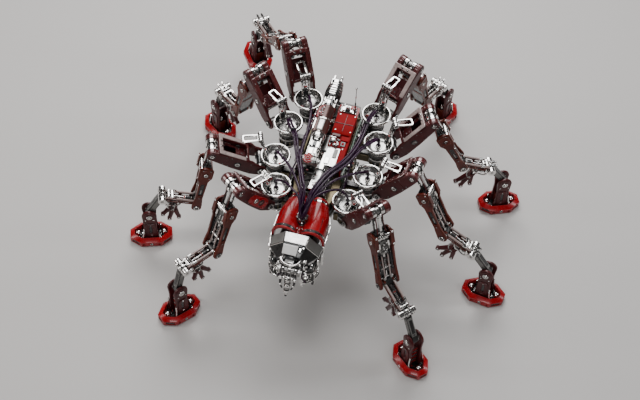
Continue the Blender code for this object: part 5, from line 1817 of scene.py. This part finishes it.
def cables():
    kit = Kit()
    for order, leg in enumerate(CABLE_ROUTES):
        path = cable_path(order, leg)
        last = len(path) - 1
        for strand in (-1, 1) if leg in DOUBLE_CABLES else (0,):
            shifted = []
            for i, point in enumerate(path):
                ahead = (path[min(i + 1, last)] - path[max(i - 1, 0)]).normalized()
                across = ahead.cross(Vector(UP))
                across = across.normalized() if across.length > 0.05 else Vector((1, 0, 0))
                # a pair of strands meets at both ends
                share = i / last
                spread = 2.3 * min(1.0, share * 4) * min(1.0, (1 - share) * 5)
                shifted.append(point + across * strand * spread + Vector((0, 0, 0.8 * strand)))
            kit.tube(shifted, 2.2, "cable", 14)
        # clip two thirds along, and collar near the hip
        clip = len(path) * 2 // 3
        kit.rod(path[clip], path[clip] + (path[clip + 1] - path[clip]).normalized() * 2.2,
                5.4 if leg in DOUBLE_CABLES else 3.3, "black", 18)
        collar, beyond = path[-9], path[-4]
        kit.rod(collar, collar + (beyond - collar).normalized() * 4, 3.3, "black", 14)
    return kit.mesh("cable_bundle", 60)


def plug():
    kit = Kit()
    kit.parts("""
        stack 0 0 208.6  0 0 1  28 / 4 9.2 gun / 1.6 8.2 chrome / 3.4 9.3 black / 1.6 8.4 mirror \
            / 3.4 8.8 gun
    """, at=(0, PLUG_Y, 0))
    for i in range(8):
        turn = math.radians(FIRST_SOCKET + SOCKET_PITCH * i)
        low, high = ((radius * math.cos(turn), PLUG_Y + radius * math.sin(turn), z)
                     for radius, z in ((6.2, 220), (7.6, 228)))
        kit.rod(low, high, 3, "chrome" if i % 2 else "gun", 14)
    kit.bolt((0, PLUG_Y, 222.6), UP, 2, 1.4)
    return kit.mesh("cable_plug")


# ---------------------------------------------------------------- assembly
# part, then its pieces; the first piece of a part stands for the part's CAD node
LEG_PIECES = (
    ("coxa", (("hip_ring", hip_ring()), ("hip_drive", hip_drive()))),
    ("femur", (("femur_shell", femur_shell()), ("femur_works", femur_works()))),
    ("tibia", (("tibia_shell", tibia_shell()), ("tibia_works", tibia_works()))),
    ("shin", (("shin_rails", shin_rails()), ("shin_works", shin_works()), ("claw", claw()))),
    ("tarsus", (("tarsus_bar", tarsus_bar()),)),
    ("foot", (("foot_ring", foot_ring()), ("foot_works", foot_works()))),
)
put("thigh_panel_R1", thigh_panel(), leg_frames("R1")["femur"], "femur_R1")

mast_high, mast_low, mast_tilted = hip_mast(), hip_mast(-7, -10), hip_mast(-7, -10, 24)
masts = {"R1": mast_low, "R3": mast_low, "R4": mast_tilted}
# the femur decks of R2, L3 and L4 are drawn in blush, a pale painted highlight where light catches
# them
femur_pink_sheen = femur_shell("blush")
for leg in HIPS:
    frames = leg_frames(leg)
    put(f"hip_mast_{leg}", masts.get(leg, mast_high), frames["coxa"], f"coxa_{leg}")
    for part, pieces in LEG_PIECES:
        for i, (name, mesh) in enumerate(pieces):
            if name == "femur_shell" and leg in ("R2", "L3", "L4"):
                mesh = femur_pink_sheen
            body = f"{part}_{leg}"
            put(f"{name}_{leg}", mesh, frames[part], body, None if i else body)

put("thorax_hull", thorax(), THORAX, "chassis", "chassis")
for leg, hip in HIPS.items():
    put(f"hip_drum_{leg}", hip_drum(*hip), THORAX, "chassis")
put("spine_bands", spine(), THORAX, "chassis", "spine_housing")
put("hood_red", hood(), THORAX, "chassis", "hood_shell")
put("hood_trim", hood_trim(), THORAX, "chassis")
put("head_shell", head(), THORAX, "chassis", "head_pod")
put("neck_frame", neck(), THORAX, "chassis")
put("jaw_gear", jaw(), THORAX, "jaw", "jaw")
put("side_cover_red", side_cover(), THORAX, "chassis", "side_cover")
put("board_stack", board(), THORAX, "chassis", "control_board")
put("service_duct", service_duct(), THORAX, "chassis")
put("cradle_frame", cradle(), THORAX, "chassis", "barrel_cradle")
put("barrel_body", barrel(), THORAX @ Matrix.Translation(Vector(BARREL_PIVOT) * MM),
    "rear_barrel", "rear_barrel")
put("tail_fittings", tail(), THORAX, "chassis", "tail_block")
put("antenna_whip", antenna(), THORAX, "chassis", "antenna")
put("cable_bundle", cables(), THORAX, "chassis", "cable_loom")
put("cable_plug", plug(), THORAX, "chassis")


# ---------------------------------------------------------------- floor, in metres from here on
def floor_material():
    material = bpy.data.materials.new("studio_floor")
    material.use_nodes = True
    nodes, links = material.node_tree.nodes, material.node_tree.links
    surface = nodes["Principled BSDF"]
    noise = nodes.new("ShaderNodeTexNoise")
    noise.inputs["Scale"].default_value = 3.0
    rough = nodes.new("ShaderNodeMapRange")
    rough.inputs["To Min"].default_value = 0.55
    rough.inputs["To Max"].default_value = 0.62
    links.new(noise.outputs["Fac"], rough.inputs["Value"])
    links.new(rough.outputs["Result"], surface.inputs["Roughness"])
    surface.inputs["Base Color"].default_value = (0.56, 0.54, 0.525, 1)
    return material


FLOOR_HALF_SIZE = 6.0
FLOOR_DROP = 0.0006  # keeps the floor just clear of the feet

bm = bmesh.new()
bmesh.ops.create_grid(bm, x_segments=1, y_segments=1, size=FLOOR_HALF_SIZE)
floor_mesh = bpy.data.meshes.new("floor")
bm.to_mesh(floor_mesh)
bm.free()
floor = bpy.data.objects.new("floor", floor_mesh)
floor.location = (0, 0, -FLOOR_DROP)
floor_mesh.materials.append(floor_material())
bpy.context.scene.collection.objects.link(floor)

# ---------------------------------------------------------------- light
world = bpy.data.worlds.new("studio")
bpy.context.scene.world = world
world.use_nodes = True
background = world.node_tree.nodes["Background"]
background.inputs["Color"].default_value = (0.80, 0.78, 0.78, 1)
background.inputs["Strength"].default_value = 0.10

LIGHT_TARGET = Vector((0, 0, 0.15))


def softbox(name, at, *, width, height, power, colour=(1, 1, 1)):
    data = bpy.data.lights.new(name, "AREA")
    data.shape = "RECTANGLE"
    data.size, data.size_y, data.energy, data.color = width, height, power, colour
    obj = bpy.data.objects.new(name, data)
    obj.location = at
    obj.rotation_euler = (LIGHT_TARGET - Vector(at)).to_track_quat("-Z", "Y").to_euler()
    bpy.context.scene.collection.objects.link(obj)


softbox("key", (-0.40, 1.30, 1.75), width=1.7, height=1.0, power=46)
softbox("top", (-0.30, -0.10, 2.1), width=0.6, height=1.0, power=13)
softbox("front", (0.35, -2.1, 1.75), width=1.3, height=0.45, power=15)
softbox("side_left", (-1.8, -0.6, 1.0), width=0.30, height=1.5, power=10,
        colour=(1.0, 0.97, 0.94))
softbox("side_right", (1.8, 0.5, 1.1), width=0.30, height=1.5, power=11,
        colour=(0.94, 0.97, 1.0))

# ---------------------------------------------------------------- camera
AZIMUTH, ELEVATION, ROLL = (math.radians(degrees) for degrees in (12.92, 52.0, 2.98))
CAMERA_DISTANCE = 2.47475
CAMERA_TARGET = THORAX @ (Vector((-2.9, -24.8, 100.0)) * MM)

back = Vector((math.sin(AZIMUTH) * math.cos(ELEVATION), -math.cos(AZIMUTH) * math.cos(ELEVATION),
               math.sin(ELEVATION)))
right = (-back).cross(Vector(UP)).normalized()
above = right.cross(-back)
camera_data = bpy.data.cameras.new("camera")
camera_data.lens = 75.909375
camera_data.sensor_width = 36
camera = bpy.data.objects.new("camera", camera_data)
camera.matrix_world = axes(right * math.cos(ROLL) + above * math.sin(ROLL),
                           above * math.cos(ROLL) - right * math.sin(ROLL),
                           back, CAMERA_TARGET + back * CAMERA_DISTANCE)
bpy.context.scene.collection.objects.link(camera)
bpy.context.scene.camera = camera
